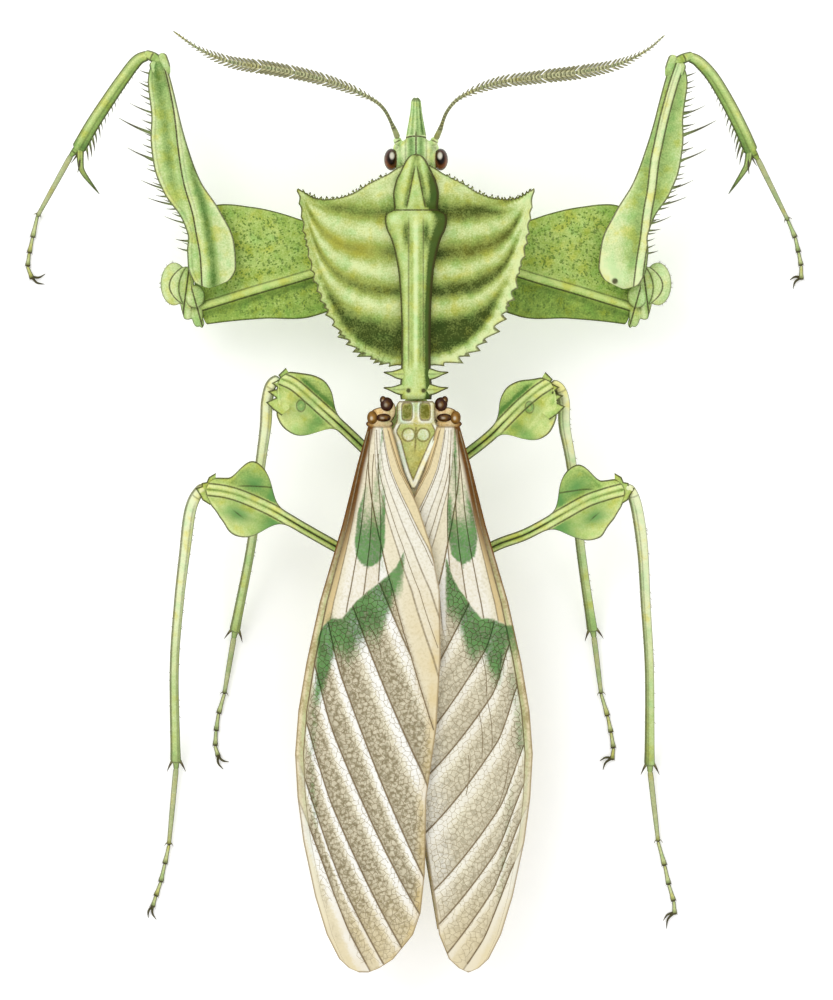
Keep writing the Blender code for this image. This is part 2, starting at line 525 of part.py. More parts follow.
def make_head():
    path = [MOUTH.lerp(CROWN, u) for u in HEAD_LEVELS]
    sections = [round_section(eased(HEAD_WIDTH, u), eased(HEAD_DEPTH, u), 10) for u in HEAD_LEVELS]
    head = loft("head", path, sections, "cuticle_pale", side=RIGHT, up=FORWARD)
    horn_path = [HORN_ROOT.lerp(HORN_TIP, u) for u, _ in HORN_SIZES]
    horn = loft("horn", horn_path, [round_section(*size) for _, size in HORN_SIZES], "cuticle_green")
    socket = [half + GAP for half in EYE_HALF]
    sockets = [ellipsoid("socket", centre, socket, "eye", 8, 7) for centre in mirrored([EYE_CENTRE], 1)]
    sockets += [ellipsoid("socket", centre, socket, "eye", 8, 7) for centre in mirrored([EYE_CENTRE], -1)]
    combine(head, sockets, "DIFFERENCE")
    combine(head, [horn], "UNION")


def make_eyes():
    for side, sign in SIDES.items():
        ellipsoid(f"eye_{side}", mirrored([EYE_CENTRE], sign)[0], EYE_HALF, "eye", 10, 7)


def make_mouth():
    sections = [round_section(*size) for size in LABRUM_SIZES]
    loft("labrum", LABRUM_LINE, sections, "cuticle_pale", side=RIGHT, up=FORWARD)
    for side, sign in SIDES.items():
        sections = [round_section(*size) for size in JAW_SIZES]
        loft(f"mandible_{side}", mirrored(JAW_LINE, sign), sections, "cuticle_pale", side=RIGHT, up=FORWARD)
        palp = smooth_points(mirrored(PALP_LINE, sign), PALP_STATIONS)
        loft(f"palp_{side}", palp, [round_section(EDGE, EDGE, 6)] * PALP_STATIONS, "cuticle_pale")


def make_antennae():
    for side, points in ANTENNA_LINES.items():
        path = smooth_points(points, ANTENNA_STATIONS)
        reaches = [eased(COMB_REACH, i / (ANTENNA_STATIONS - 1)) for i in range(ANTENNA_STATIONS)]
        loft(f"antenna_{side}", path, [round_section(reach, EDGE, 6) for reach in reaches], "feeler")


# ---------------------------------------------------------------- thorax and abdomen

def shield_edges():
    """The shield's front and rear edges from the middle line to the corner, with their teeth."""
    count = 2 * TEETH_A_SIDE
    front = smooth_points([(*p, 0) for p in SHIELD_FRONT], count + 1)
    rear = smooth_points([(*p, 0) for p in SHIELD_REAR], count + 1)
    toothed = []
    for k, point in enumerate(rear):
        ahead = rear[min(k + 1, count)] - rear[max(k - 1, 0)]
        outward = Vector((ahead.y, -ahead.x, 0)).normalized()
        is_tooth = k % 2 == 1 and k < count - 2
        toothed.append(point + outward * TOOTH * is_tooth)
    for point in front[1:count:2]:
        point.y += FRONT_TOOTH
    return front, toothed


def shield_height(x, y):
    """A shallow dish: folds sweep in from each front corner, and the rim turns up."""
    reach = min(abs(x) / SHIELD_CORNER[0], 0.98)
    sweep = reach ** 1.6
    crossing = (y - SHIELD_CORNER[1] * sweep) / (1 - sweep)
    fold = FOLD_HALF * math.cos(2 * math.pi * (crossing - FOLD_Y) / FOLD_PITCH) * (1 - reach) ** 0.5
    back = min((SHIELD_CORNER[1] - y) / (SHIELD_CORNER[1] - SHIELD_REAR_Y), 1.0)
    return SHIELD_Z - SHIELD_FALL * back + RIM_LIFT * reach ** 3 + fold


def make_pronotum():
    front, rear = shield_edges()
    count = 2 * TEETH_A_SIDE

    def place(u, v):
        k = round((2 * u - 1) * count)
        point = front[abs(k)].lerp(rear[abs(k)], v)
        x = math.copysign(point.x, k)
        return Vector((x, point.y, shield_height(x, point.y)))

    shield = slab("shield", 2 * count, SHIELD_ROWS, place, SHIELD_WALL, "cuticle_green")

    path, sections = [], []
    for y in CREST_Y:
        top = eased(CREST_TOP, y)
        middle = (top + shield_height(0, y) - CREST_DEPTH) / 2
        half = eased(CREST_HALF, y)
        reach = STALK_SPINE_REACH if y in STALK_SPINES_Y else half
        path.append((0, y, middle))
        sections.append(winged_section(half, top - middle, reach, reach, STALK_SPINE_HALF))
    crest = loft("pronotum", path, sections, "cuticle_green", side=RIGHT, up=UP)

    stations = []
    for y in TONGUE_Y:
        top, base = eased(TONGUE_TOP, y), eased(TONGUE_BASE, y)
        stations.append((y, eased(TONGUE_HALF, y), (top - base) / 2, (top + base) / 2))
    tongue = body_loft("tongue", stations, "cuticle_green", 10)
    combine(crest, [tongue], "UNION")
    combine(crest, [shield], "UNION")


def make_thorax():
    body_loft("prothorax", PROTHORAX, "cuticle_pale", 10)
    body_loft("mesothorax", MESOTHORAX, "cuticle_pale")
    body_loft("metathorax", METATHORAX, "cuticle_pale")
    body_loft("scutellum", SCUTELLUM, "cuticle_pale", 8)
    loft("neck", NECK_LINE, [round_section(*size) for size in NECK_SIZES], "cuticle_pale", side=RIGHT, up=UP)


def make_abdomen():
    span = ABDOMEN_START_Y - ABDOMEN_END_Y
    for n in range(ABDOMEN_RINGS):
        path, sections = [], []
        for share in (0.0, 0.5, 1.0):
            u = (n + share) / ABDOMEN_RINGS
            if share == 1.0 and n < ABDOMEN_RINGS - 1:
                u -= GAP / span
            flare = RING_FLARE if share > 0 else 1.0
            half, height = eased(ABDOMEN_HALF, u) * flare, eased(ABDOMEN_HEIGHT, u) * flare
            path.append((0, ABDOMEN_START_Y - u * span, eased(ABDOMEN_Z, u)))
            sections.append(winged_section(half * 0.92, height, half * 1.06, half * 1.06))
        loft(f"abdomen_{n + 1}", path, sections, "abdomen", side=RIGHT, up=UP)
    for side, sign in SIDES.items():
        path = smooth_points(mirrored(CERCUS_LINE, sign), len(CERCUS_HALF))
        loft(f"cercus_{side}", path, [round_section(half, half, 6) for half in CERCUS_HALF], "abdomen")


# ---------------------------------------------------------------- legs

def spine_row(path, outward, keel, row, lean):
    """Cones along a limb's keel. outward is -1 where the keel is on the path's left, 1 on its right."""
    cones = []
    for k, (u, length) in enumerate(row):
        point, ahead, side = at(path, u)
        root = point + side * outward * (eased(keel, u) - EDGE)
        spread = SPINE_SPREAD if k % 2 else -SPINE_SPREAD
        way = (side * outward + ahead * lean + UP * spread).normalized()
        cones.append(spike(root, root + way * (length + EDGE)))
    return cones


def make_foot(name, toes, claws):
    """A long first joint, four flared short ones that end on the floor, and two claws."""
    points = [Vector(p) for p in toes]
    path, sections = [], []
    for n, (start, end) in enumerate(zip(points, points[1:])):
        is_last = n == len(points) - 2
        for share, size in ((0.12 if n else 0.06, 0.72 if n else 0.85), (1.0 if is_last else 0.93, 1.12)):
            path.append(start.lerp(end, share))
            sections.append(round_section(TOE_HALF_WIDTH * size, TOE_HALF_HEIGHT * size, 6))
    foot = loft(name, path, sections, "cuticle_pale")
    stand_on_floor(foot)
    root = points[-1].lerp(points[-2], 0.2)
    root.z = CLAW_Z
    combine(foot, [spike(root, (x, y, CLAW_Z)) for x, y in claws], "UNION")


def make_trochanter(side, hip):
    """The wedge between coxa and femur, with the rounded lobe that stands out beside the femur."""
    sign = SIDES[side]
    wedge_path = [hip + step for step in mirrored(TROCHANTER_LINE, sign)]
    sections = [round_section(*size) for size in TROCHANTER_SIZES]
    wedge = loft(f"fore_trochanter_{side}", wedge_path, sections, "cuticle_green")
    centre = hip + mirrored([TROCHANTER_LOBE], sign)[0]
    lobe = ellipsoid("lobe", centre, TROCHANTER_LOBE_HALF, "cuticle_green", 8, 5)
    combine(wedge, [lobe], "UNION")


def make_foreleg(side):
    sign = SIDES[side]
    joints = FORELEGS[side]
    left, right = (COXA_REAR, COXA_FRONT) if sign < 0 else (COXA_FRONT, COXA_REAR)
    limb_loft(f"fore_coxa_{side}", joints["coxa"], COXA_STATIONS, COXA_RIB, left, right, "cuticle_green")
    make_trochanter(side, Vector(joints["coxa"][-1]))

    left, right = (FEMUR_KEEL, FEMUR_BACK) if sign < 0 else (FEMUR_BACK, FEMUR_KEEL)
    femur, path = limb_loft(f"fore_femur_{side}", joints["femur"], FEMUR_STATIONS, FEMUR_SHAFT, left, right,
                            "cuticle_green")
    spines = spine_row(path, sign, FEMUR_KEEL, LONG_SPINES, LONG_LEAN)
    spines += spine_row(path, sign, FEMUR_KEEL, SHORT_SPINES, SHORT_LEAN)
    combine(femur, spines, "UNION")

    # The tibia turns back beside the femur, so its spined keel is on the same hand of its path.
    left, right = (FORE_TIBIA_KEEL, FORE_TIBIA_BACK) if sign < 0 else (FORE_TIBIA_BACK, FORE_TIBIA_KEEL)
    tibia, path = limb_loft(f"fore_tibia_{side}", joints["tibia"], FORE_TIBIA_STATIONS, FORE_TIBIA_SHAFT,
                            left, right, "cuticle_green")
    spines = spine_row(path, sign, FORE_TIBIA_KEEL, TIBIA_SPINES, LONG_LEAN)
    end, ahead, _ = at(path, 1.0)
    bend, tip = (Vector(p) for p in joints["hook"])
    hook_path = smooth_points([end - ahead * 0.9, end.lerp(bend, 0.55), bend, tip], len(HOOK_HALF))
    hook = loft("hook", hook_path, [round_section(half, half, 6) for half in HOOK_HALF], "cuticle_green")
    combine(tibia, [*spines, hook], "UNION")
    make_foot(f"fore_tarsus_{side}", joints["toes"], joints["claws"])


def make_walking_leg(leg):
    joints = WALKING_LEGS[leg]
    pair, side = leg.split("_")
    lobes = LOBES[pair]
    coxa = smooth_points(joints["coxa"], len(COXA_SIZES))
    loft(f"{pair}_coxa_{side}", coxa, [round_section(*size) for size in COXA_SIZES], "cuticle_pale")

    left, right = (lobes["rear"], lobes["front"]) if side == "left" else (lobes["front"], lobes["rear"])
    limb_loft(f"{pair}_femur_{side}", joints["femur"], lobes["stations"], THIGH_SHAFT, left, right,
              "cuticle_green")

    path = smooth_points(joints["tibia"], len(SHIN_HALF))
    sections = [round_section(half, half * SHIN_FLATTENING, 6) for half in SHIN_HALF]
    shin = loft(f"{pair}_tibia_{side}", path, sections, "cuticle_pale")
    ankle, ahead, aside = at(path, 1.0)
    spurs = []
    for hand in SIDES.values():
        root = ankle - ahead * 0.4 + aside * hand * 0.3
        spurs.append(spike(root, root + ahead * SPUR_AHEAD + aside * hand * SPUR_ASIDE))
    combine(shin, spurs, "UNION")
    make_foot(f"{pair}_tarsus_{side}", joints["toes"], joints["claws"])


# ---------------------------------------------------------------- wings

def wing_height(x, share):
    """The closed wings' roof at x beside the middle, at a share of their length from root to tip."""
    return eased(WING_CROWN, share) - eased(WING_DROP, share) * (max(x, 0.0) / WING_OUTER[6][1]) ** WING_BOW


def make_wing_roots():
    """The knobbed hinge plates at the root of each wing pair."""
    for side, sign in SIDES.items():
        knobs = []
        for centre, half in WING_KNOBS:
            place = mirrored([centre], sign)[0] + RIGHT * WING_SHIFT
            knobs.append(ellipsoid(f"wing_root_{side}", place, half, "wing_root", 7, 4))
        combine(knobs[0], knobs[1:], "UNION")


def make_tegmina():
    for side, sign in SIDES.items():
        inner = WING_INNER[side]

        def place(u, v):
            share = 1 - (1 - v) ** TIP_CROWDING
            near, far = straight(inner, share), sign * straight(WING_OUTER, share)
            x = near + (far - near) * u
            z = wing_height(sign * x, share)
            if side == "left":
                z += eased(OVERLAP_LIFT, x)
            return Vector((x + WING_SHIFT, WING_ROOT_Y + (WING_TIP_Y - WING_ROOT_Y) * share, z))

        wing_sheet(f"tegmen_{side}", WING_GRID, place, "wing")


def make_hindwings():
    for side, sign in SIDES.items():

        def place(u, v):
            y = HINDWING_START_Y + (HINDWING_TIP_Y - HINDWING_START_Y) * v
            share = (WING_ROOT_Y - y) / (WING_ROOT_Y - WING_TIP_Y)
            near = straight([(0.75, 0.4), (1.0, 2.8)], v)
            far = straight(WING_OUTER, share) - HINDWING_INSET
            x = near + (far - near) * u * straight([(0.8, 1.0), (1.0, 0.7)], v)
            return Vector((sign * x + WING_SHIFT, y, wing_height(x, share) - HINDWING_DEPTH))

        wing_sheet(f"hindwing_{side}", HINDWING_GRID, place, "hindwing")


# ---------------------------------------------------------------- build

clear_scene()
MATERIALS = make_materials()
PARTS = make_collection("praying_mantis")
ROOT = make_root("praying_mantis_root")
make_head()
make_eyes()
make_mouth()
make_antennae()
make_pronotum()
make_thorax()
make_abdomen()
for hand in SIDES:
    make_foreleg(hand)
for walking_leg in WALKING_LEGS:
    make_walking_leg(walking_leg)
make_wing_roots()
make_tegmina()
make_hindwings()
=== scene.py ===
# A life-size giant devil's flower mantis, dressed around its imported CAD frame.
# Sizes are millimetres, but metres in the studio; a table of pairs runs from 0 to 1 along a limb, or along Y.
import math
import random
from types import SimpleNamespace

import bmesh
import bpy
import numpy as np
from mathutils import Matrix, Vector
from mathutils.kdtree import KDTree


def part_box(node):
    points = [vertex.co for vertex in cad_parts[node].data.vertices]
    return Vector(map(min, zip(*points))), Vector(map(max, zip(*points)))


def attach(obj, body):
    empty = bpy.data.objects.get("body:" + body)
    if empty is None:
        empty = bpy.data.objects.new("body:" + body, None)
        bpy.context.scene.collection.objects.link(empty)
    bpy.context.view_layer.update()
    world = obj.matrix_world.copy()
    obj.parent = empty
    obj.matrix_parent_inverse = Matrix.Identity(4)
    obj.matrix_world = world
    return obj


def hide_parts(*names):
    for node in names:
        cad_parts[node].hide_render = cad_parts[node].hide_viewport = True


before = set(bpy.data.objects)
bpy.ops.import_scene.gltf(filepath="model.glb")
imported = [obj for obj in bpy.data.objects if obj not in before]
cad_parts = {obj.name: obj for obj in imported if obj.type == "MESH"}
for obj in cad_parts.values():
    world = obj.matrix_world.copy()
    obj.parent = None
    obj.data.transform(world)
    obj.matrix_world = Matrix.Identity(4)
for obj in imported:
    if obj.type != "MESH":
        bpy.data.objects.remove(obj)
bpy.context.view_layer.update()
mm = 0.001
sides = {"left": -1, "right": 1}
print("frame loaded")


# Curves and tables

def ease(low, high, value):
    t = np.clip((np.asarray(value, float) - low) / (high - low), 0, 1)
    return t * t * (3 - 2 * t)


def bell(value, middle, width):
    return np.exp(-(((value - middle) / width) ** 2))


def slab(value, width):
    # a bell with a flat top
    return np.exp(-((value / width) ** 4))


def curve(table, place):
    # a smooth curve through (place, value) pairs that never swings past them
    x, y = (np.array(column, float) for column in zip(*table))
    place = np.clip(place, x[0], x[-1])
    step = np.diff(x)
    rise = np.diff(y) / step
    slope = np.zeros(len(x))
    slope[[0, -1]] = rise[[0, -1]]
    same = rise[:-1] * rise[1:] > 0
    total = np.where(same, rise[:-1] + rise[1:], 1)
    slope[1:-1] = np.where(same, 2 * rise[:-1] * rise[1:] / total, 0)
    k = np.clip(np.searchsorted(x, place, side="right") - 1, 0, len(step) - 1)
    t = (place - x[k]) / step[k]
    near = (1 + 2 * t) * (1 - t) ** 2 * y[k] + t * (1 - t) ** 2 * step[k] * slope[k]
    return near + t * t * (3 - 2 * t) * y[k + 1] + t * t * (t - 1) * step[k] * slope[k + 1]


def lineAt(points, shares):
    # points on a smooth line through the given ones, at shares of its length
    pts = np.array(points, float)
    pts = np.vstack([2 * pts[0] - pts[1], pts, 2 * pts[-1] - pts[-2]])
    t = np.linspace(0, 1, 24, endpoint=False)[:, None]
    fine = []
    for a, b, c, d in zip(pts, pts[1:], pts[2:], pts[3:]):
        bend = (2 * a - 5 * b + 4 * c - d) * t ** 2 + (3 * b - a - 3 * c + d) * t ** 3
        fine.append(0.5 * (2 * b + (c - a) * t + bend))
    fine = np.vstack([*fine, pts[-2:-1]])
    far = np.concatenate([[0], np.cumsum(np.linalg.norm(np.diff(fine, axis=0), axis=1))])
    want = np.asarray(shares) * far[-1]
    return np.stack([np.interp(want, far, fine[:, k]) for k in range(3)], axis=1)


def shares(count, crowding=0.4):
    # evenly spaced, but closer together at both ends
    t = np.linspace(0, 1, count)
    return (1 - crowding) * t + crowding * (0.5 - 0.5 * np.cos(np.pi * t))


def unit(vectors):
    return vectors / np.linalg.norm(vectors, axis=-1, keepdims=True)


def flip(points, sign):
    return [(sign * x, y, z) for x, y, z in points]


def fullTurn(count):
    return np.linspace(0, 2 * np.pi, count, endpoint=False)


def boxOf(node):
    # middle and half size of a CAD node, in millimetres
    low, high = (np.array(corner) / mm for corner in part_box(node))
    return (low + high) / 2, (high - low) / 2


# Meshes: a shell is points, faces and painting masks; a piece is one or more shells

plainMasks = {"rim": 1, "shade": 0.4, "spot": 0, "speckle": 0, "lineA": 1, "inkA": 0,
              "lineB": 1, "inkB": 0, "lineC": 1, "inkC": 0}


def drawn(*lines):
    # masks for up to three drawn lines, each a signed distance from it in millimetres and its strength
    found = {}
    for letter, (distance, strength) in zip("ABC", lines):
        found["line" + letter], found["ink" + letter] = distance, strength
    return found


def spread(masks, shape):
    return {name: np.broadcast_to(np.asarray(value, float), shape) for name, value in masks.items()}


def ringShell(rings, skin=0, **masks):
    # a closed tube through rings of points
    n, m = rings.shape[:2]
    i, k = np.meshgrid(np.arange(n - 1), np.arange(m), indexing="ij")
    a, b = i * m + k, i * m + (k + 1) % m
    walls = np.stack([a, b, b + m, a + m], -1).reshape(-1, 4).tolist()
    around = [(k, (k + 1) % m) for k in range(m)]
    ends = [(n * m, b, a) for a, b in around] + [(n * m + 1, (n - 1) * m + a, (n - 1) * m + b) for a, b in around]
    points = np.vstack([rings.reshape(-1, 3), rings[0].mean(0), rings[-1].mean(0)])
    values = {}
    for name, grid in spread(masks, (n, m)).items():
        values[name] = np.concatenate([grid.ravel(), [grid[0].mean(), grid[-1].mean()]])
    return SimpleNamespace(points=points, faces=walls + ends, masks=values, skin=skin)


def sheetShell(top, bottom, skin=0, **masks):
    # a closed sheet between two grids of points
    n, m = top.shape[:2]
    grid = np.arange(n * m).reshape(n, m)

    def quads(g):
        return np.stack([g[:-1, :-1], g[:-1, 1:], g[1:, 1:], g[1:, :-1]], -1).reshape(-1, 4)

    rim = np.concatenate([grid[0, :-1], grid[:-1, -1], grid[-1, :0:-1], grid[:0:-1, 0]])
    after = np.roll(rim, -1)
    wall = np.stack([rim, rim + n * m, after + n * m, after], -1)
    faces = np.vstack([quads(grid)[:, ::-1], quads(grid + n * m), wall]).tolist()
    points = np.vstack([top.reshape(-1, 3), bottom.reshape(-1, 3)])
    values = {name: np.tile(v.ravel(), 2) for name, v in spread(masks, (n, m)).items()}
    return SimpleNamespace(points=points, faces=faces, masks=values, skin=skin)


def finishPiece(piece, nodes=()):
    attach(piece, "root")
    if nodes:
        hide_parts(*nodes)
    return piece


def addObject(name, data):
    made = bpy.data.objects.new(name, data)
    bpy.context.scene.collection.objects.link(made)
    return made


def setMask(mesh, key, values):
    layer = mesh.attributes.get(key) or mesh.attributes.new(key, "FLOAT", "POINT")
    layer.data.foreach_set("value", np.asarray(values, np.float32))


def setLooks(mesh, looks):
    # clearing the materials also forgets which face has which, so this comes first
    mesh.materials.clear()
    for look in looks:
        mesh.materials.append(finishes[look])


def buildMesh(name, shells, looks):
    points, faces, skins, masks = [], [], [], {key: [] for key in plainMasks}
    total = 0
    for shell in shells:
        points.append(shell.points)
        faces += [[index + total for index in face] for face in shell.faces]
        skins += [shell.skin] * len(shell.faces)
        for key, plain in plainMasks.items():
            masks[key].append(shell.masks.get(key, np.full(len(shell.points), plain)))
        total += len(shell.points)
    mesh = bpy.data.meshes.new(name)
    mesh.from_pydata((np.vstack(points) * mm).tolist(), [], faces)
    setLooks(mesh, looks)
    mesh.polygons.foreach_set("material_index", skins)
    for key, values in masks.items():
        setMask(mesh, key, np.concatenate(values))
    outward = bmesh.new()
    outward.from_mesh(mesh)
    bmesh.ops.recalc_face_normals(outward, faces=outward.faces)
    outward.to_mesh(mesh)
    outward.free()
    mesh.shade_smooth()
    return addObject(name, mesh)


def buildPiece(name, shells, looks, nodes=()):
    return finishPiece(buildMesh(name, shells, looks), nodes)


def applyAll(piece):
    # turns live modifiers into a plain mesh
    bpy.context.view_layer.update()
    graph = bpy.context.evaluated_depsgraph_get()
    mesh = bpy.data.meshes.new_from_object(piece.evaluated_get(graph))
    piece.modifiers.clear()
    piece.data = mesh
    mesh.name = piece.name


def paintByPlace(piece, paint):
    # fills the masks of a finished mesh from each point's place in millimetres
    mesh = piece.data
    co = np.zeros(len(mesh.vertices) * 3, np.float32)
    mesh.vertices.foreach_get("co", co)
    x, y, z = co.reshape(-1, 3).T.astype(float) / mm
    found = paint(x, y, z)
    for key, plain in plainMasks.items():
        setMask(mesh, key, np.broadcast_to(found.get(key, plain), x.shape))


def fuse(name, shells, looks, voxel, smoothing):
    # one seamless skin over overlapping shells
    piece = buildMesh(name, shells, looks)
    remesh = piece.modifiers.new("oneSkin", "REMESH")
    remesh.mode = "VOXEL"
    remesh.voxel_size = voxel * mm
    remesh.use_smooth_shade = True
    relax = piece.modifiers.new("relax", "SMOOTH")
    relax.factor = 0.5
    relax.iterations = smoothing
    applyAll(piece)
    setLooks(piece.data, looks)
    return piece


def nodeShell(name):
    # a merged copy of a CAD node's mesh
    copy = bmesh.new()
    copy.from_mesh(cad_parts[name].data)
    bmesh.ops.remove_doubles(copy, verts=copy.verts, dist=1e-6)
    copy.verts.index_update()
    points = np.array([vertex.co for vertex in copy.verts]) / mm
    faces = [[vertex.index for vertex in face.verts] for face in copy.faces]
    copy.free()
    return SimpleNamespace(points=points, faces=faces, masks={}, skin=0)


def ballShell(centre, half, around=24, rows=14, skin=0, **masks):
    lat = np.linspace(0.02, np.pi - 0.02, rows)[:, None]
    lon = fullTurn(around)[None, :]
    ball = np.stack([np.sin(lat) * np.cos(lon), np.sin(lat) * np.sin(lon), np.cos(lat) + 0 * lon], -1)
    return ringShell(ball * np.array(half) + np.array(centre), skin, **masks)


def frameAlong(line, up=(0, 0, 1)):
    ahead = unit(np.gradient(line, axis=0))
    side = unit(np.cross(ahead, np.array(up, float)))
    return ahead, side, np.cross(side, ahead)


def soften(values, count):
    # evens out a row of values over `count` neighbours on each side
    weights = np.hanning(2 * count + 3)[1:-1]
    padded = np.concatenate([np.full(count, values[0]), values, np.full(count, values[-1])])
    return np.convolve(padded, weights / weights.sum(), "valid")


def limbLine(points, s, endRound, least):
    # a limb's middle line and directions, and how its ends are rounded
    g = SimpleNamespace(line=lineAt(points, s))
    g.length = np.linalg.norm(np.diff(g.line, axis=0), axis=1).sum()
    g.ahead, g.side, g.above = frameAlong(g.line)
    fromEnd = np.clip(np.minimum(s, 1 - s) * g.length / endRound, 0, 1)
    g.taper = np.sqrt(np.clip(1 - (1 - fromEnd) ** 2, least, 1))
    return g


def blade(points, count, left, right, width, height, edge=0.27, around=48, endRound=0.35, soft=0):
    # a limb: a stout shaft of half width and height, with thin lamellae that reach left and right
    s = shares(count)
    g = limbLine(points, s, endRound, 0.02)
    rows = (curve(table, s) for table in (left, right, width, height))
    rows = ((soften(row, soft) if soft else row) * g.taper for row in rows)
    reachLeft, reachRight, half, high = (row[:, None] for row in rows)
    turn = fullTurn(around)
    c = np.cos(turn)[None, :]
    g.top = np.sign(np.round(np.sin(turn), 9))[None, :]
    g.u = np.broadcast_to(s[:, None], (count, around))
    g.mmAlong = g.u * g.length
    g.w = (reachRight - reachLeft) / 2 + c * (reachRight + reachLeft) / 2
    g.rim = np.minimum(reachRight - g.w, g.w + reachLeft)
    g.roundOff = np.sqrt(np.clip(1 - abs(c) ** 6, 0, 1))
    thin = edge * g.taper[:, None]
    g.h = g.roundOff * (thin + np.maximum(high - thin, 0) * np.exp(-0.9 * (g.w / half) ** 2))
    return g


def bladeRings(g, lift=0):
    out = g.line[:, None] + g.side[:, None] * g.w[..., None]
    return out + g.above[:, None] * (g.top * g.h + lift)[..., None]


def tube(points, count, width, height=None, around=16, endRound=0.3, crowding=0.4):
    # a round limb of half width and height, with u, w and rim for painting
    s = shares(count, crowding)
    g = limbLine(points, s, endRound, 0.03)
    wide = (curve(width, s) * g.taper)[:, None]
    high = (curve(height or width, s) * g.taper)[:, None]
    turn = fullTurn(around)
    g.u = np.broadcast_to(s[:, None], (count, around))
    g.mmAlong = g.u * g.length
    g.w = np.cos(turn)[None, :] * wide
    g.top = np.sin(turn)[None, :]
    g.h = np.sin(turn)[None, :] * high
    g.rim = wide - abs(g.w)
    g.rings = g.line[:, None] + g.side[:, None] * g.w[..., None] + g.above[:, None] * g.h[..., None]
    return g


def limbShell(g, **masks):
    return ringShell(g.rings, **{"rim": g.rim, **masks})


def swollen(g, factor):
    # a limb's rings, thickened about its middle line
    middle = g.line[:, None]
    return middle + (g.rings - middle) * factor[..., None]


# Node trees

class Wire:
    # one output of a node; sums and products of wires are maths nodes
    def __init__(self, socket):
        self.socket = socket

    def __getitem__(self, name):
        return Wire(self.socket.node.outputs[name])

    def __add__(self, other):
        return calc("ADD", self, other)

    def __sub__(self, other):
        return calc("SUBTRACT", self, other)

    def __rsub__(self, other):
        return calc("SUBTRACT", other, self)

    def __mul__(self, other):
        return calc("MULTIPLY", self, other)


current = {}


def put(kind, inputs=None, **settings):
    # adds a node to the current tree, and gives back its first output
    tree = current["tree"]
    node = tree.nodes.new(kind)
    for name, value in settings.items():
        setattr(node, name, value)
    for name, value in (inputs or {}).items():
        if isinstance(value, Wire):
            tree.links.new(value.socket, node.inputs[name])
        else:
            node.inputs[name].default_value = value
    return Wire(node.outputs[0]) if node.outputs else None


def calc(operation, *values):
    return put("ShaderNodeMath", dict(enumerate(values)), operation=operation)


def part(value):
    return calc("FRACT", value)


def nearWhole(value):
    # how far a value is from the nearest whole number
    return calc("ABSOLUTE", part(value + 0.5) - 0.5)


def blend(factor, a, b, how="MIX"):
    return put("ShaderNodeMix", {0: factor, 6: a, 7: b}, data_type="RGBA", blend_type=how)[2]


def ramp(factor, stops):
    colour = put("ShaderNodeValToRGB", {0: factor})
    elements = colour.socket.node.color_ramp.elements
    while len(elements) < len(stops):
        elements.new(0.5)
    for element, (place, shade) in zip(elements, stops):
        element.position, element.color = place, shade
    return colour


def fade(value, low, high, start=0, end=1):
    return put("ShaderNodeMapRange", dict(enumerate((value, low, high, start, end))), interpolation_type="SMOOTHSTEP")


def mask(name):
    return put("ShaderNodeAttribute", attribute_name=name)["Fac"]


def cloud(place, size, detail=2):
    # soft noise from 0 to 1 whose features are about `size` millimetres
    return put("ShaderNodeTexNoise", {"Vector": place, "Scale": 1 / (size * mm), "Detail": detail})


def cells(place, size, randomness=1):
    # distance from the middles of cells about `size` millimetres wide
    inputs = {"Vector": place, "Scale": 1 / (size * mm), "Randomness": randomness}
    return put("ShaderNodeTexVoronoi", inputs)["Distance"]


def rgb(*parts):
    return tuple(((c / 255 + 0.055) / 1.055) ** 2.4 if c > 10 else c / 3294 for c in parts) + (1,)


def newMaterial(name):
    # an empty material, and each point's place on the piece
    material = bpy.data.materials.new(name)
    material.use_nodes = True
    current["tree"] = material.node_tree
    current["tree"].nodes.clear()
    return material, put("ShaderNodeTexCoord")["Object"]


def shine(colour, roughness, height, bump, deep, coat=0, specular=0.16, **more):
    normal = put("ShaderNodeBump", {"Strength": bump, "Distance": deep * mm, "Height": height})
    inputs = {"Base Color": colour, "Roughness": roughness, "Coat Weight": coat, "Specular IOR Level": specular}
    shader = put("ShaderNodeBsdfPrincipled", {**inputs, "Normal": normal, **more})
    put("ShaderNodeOutputMaterial", {"Surface": shader})


# Finishes

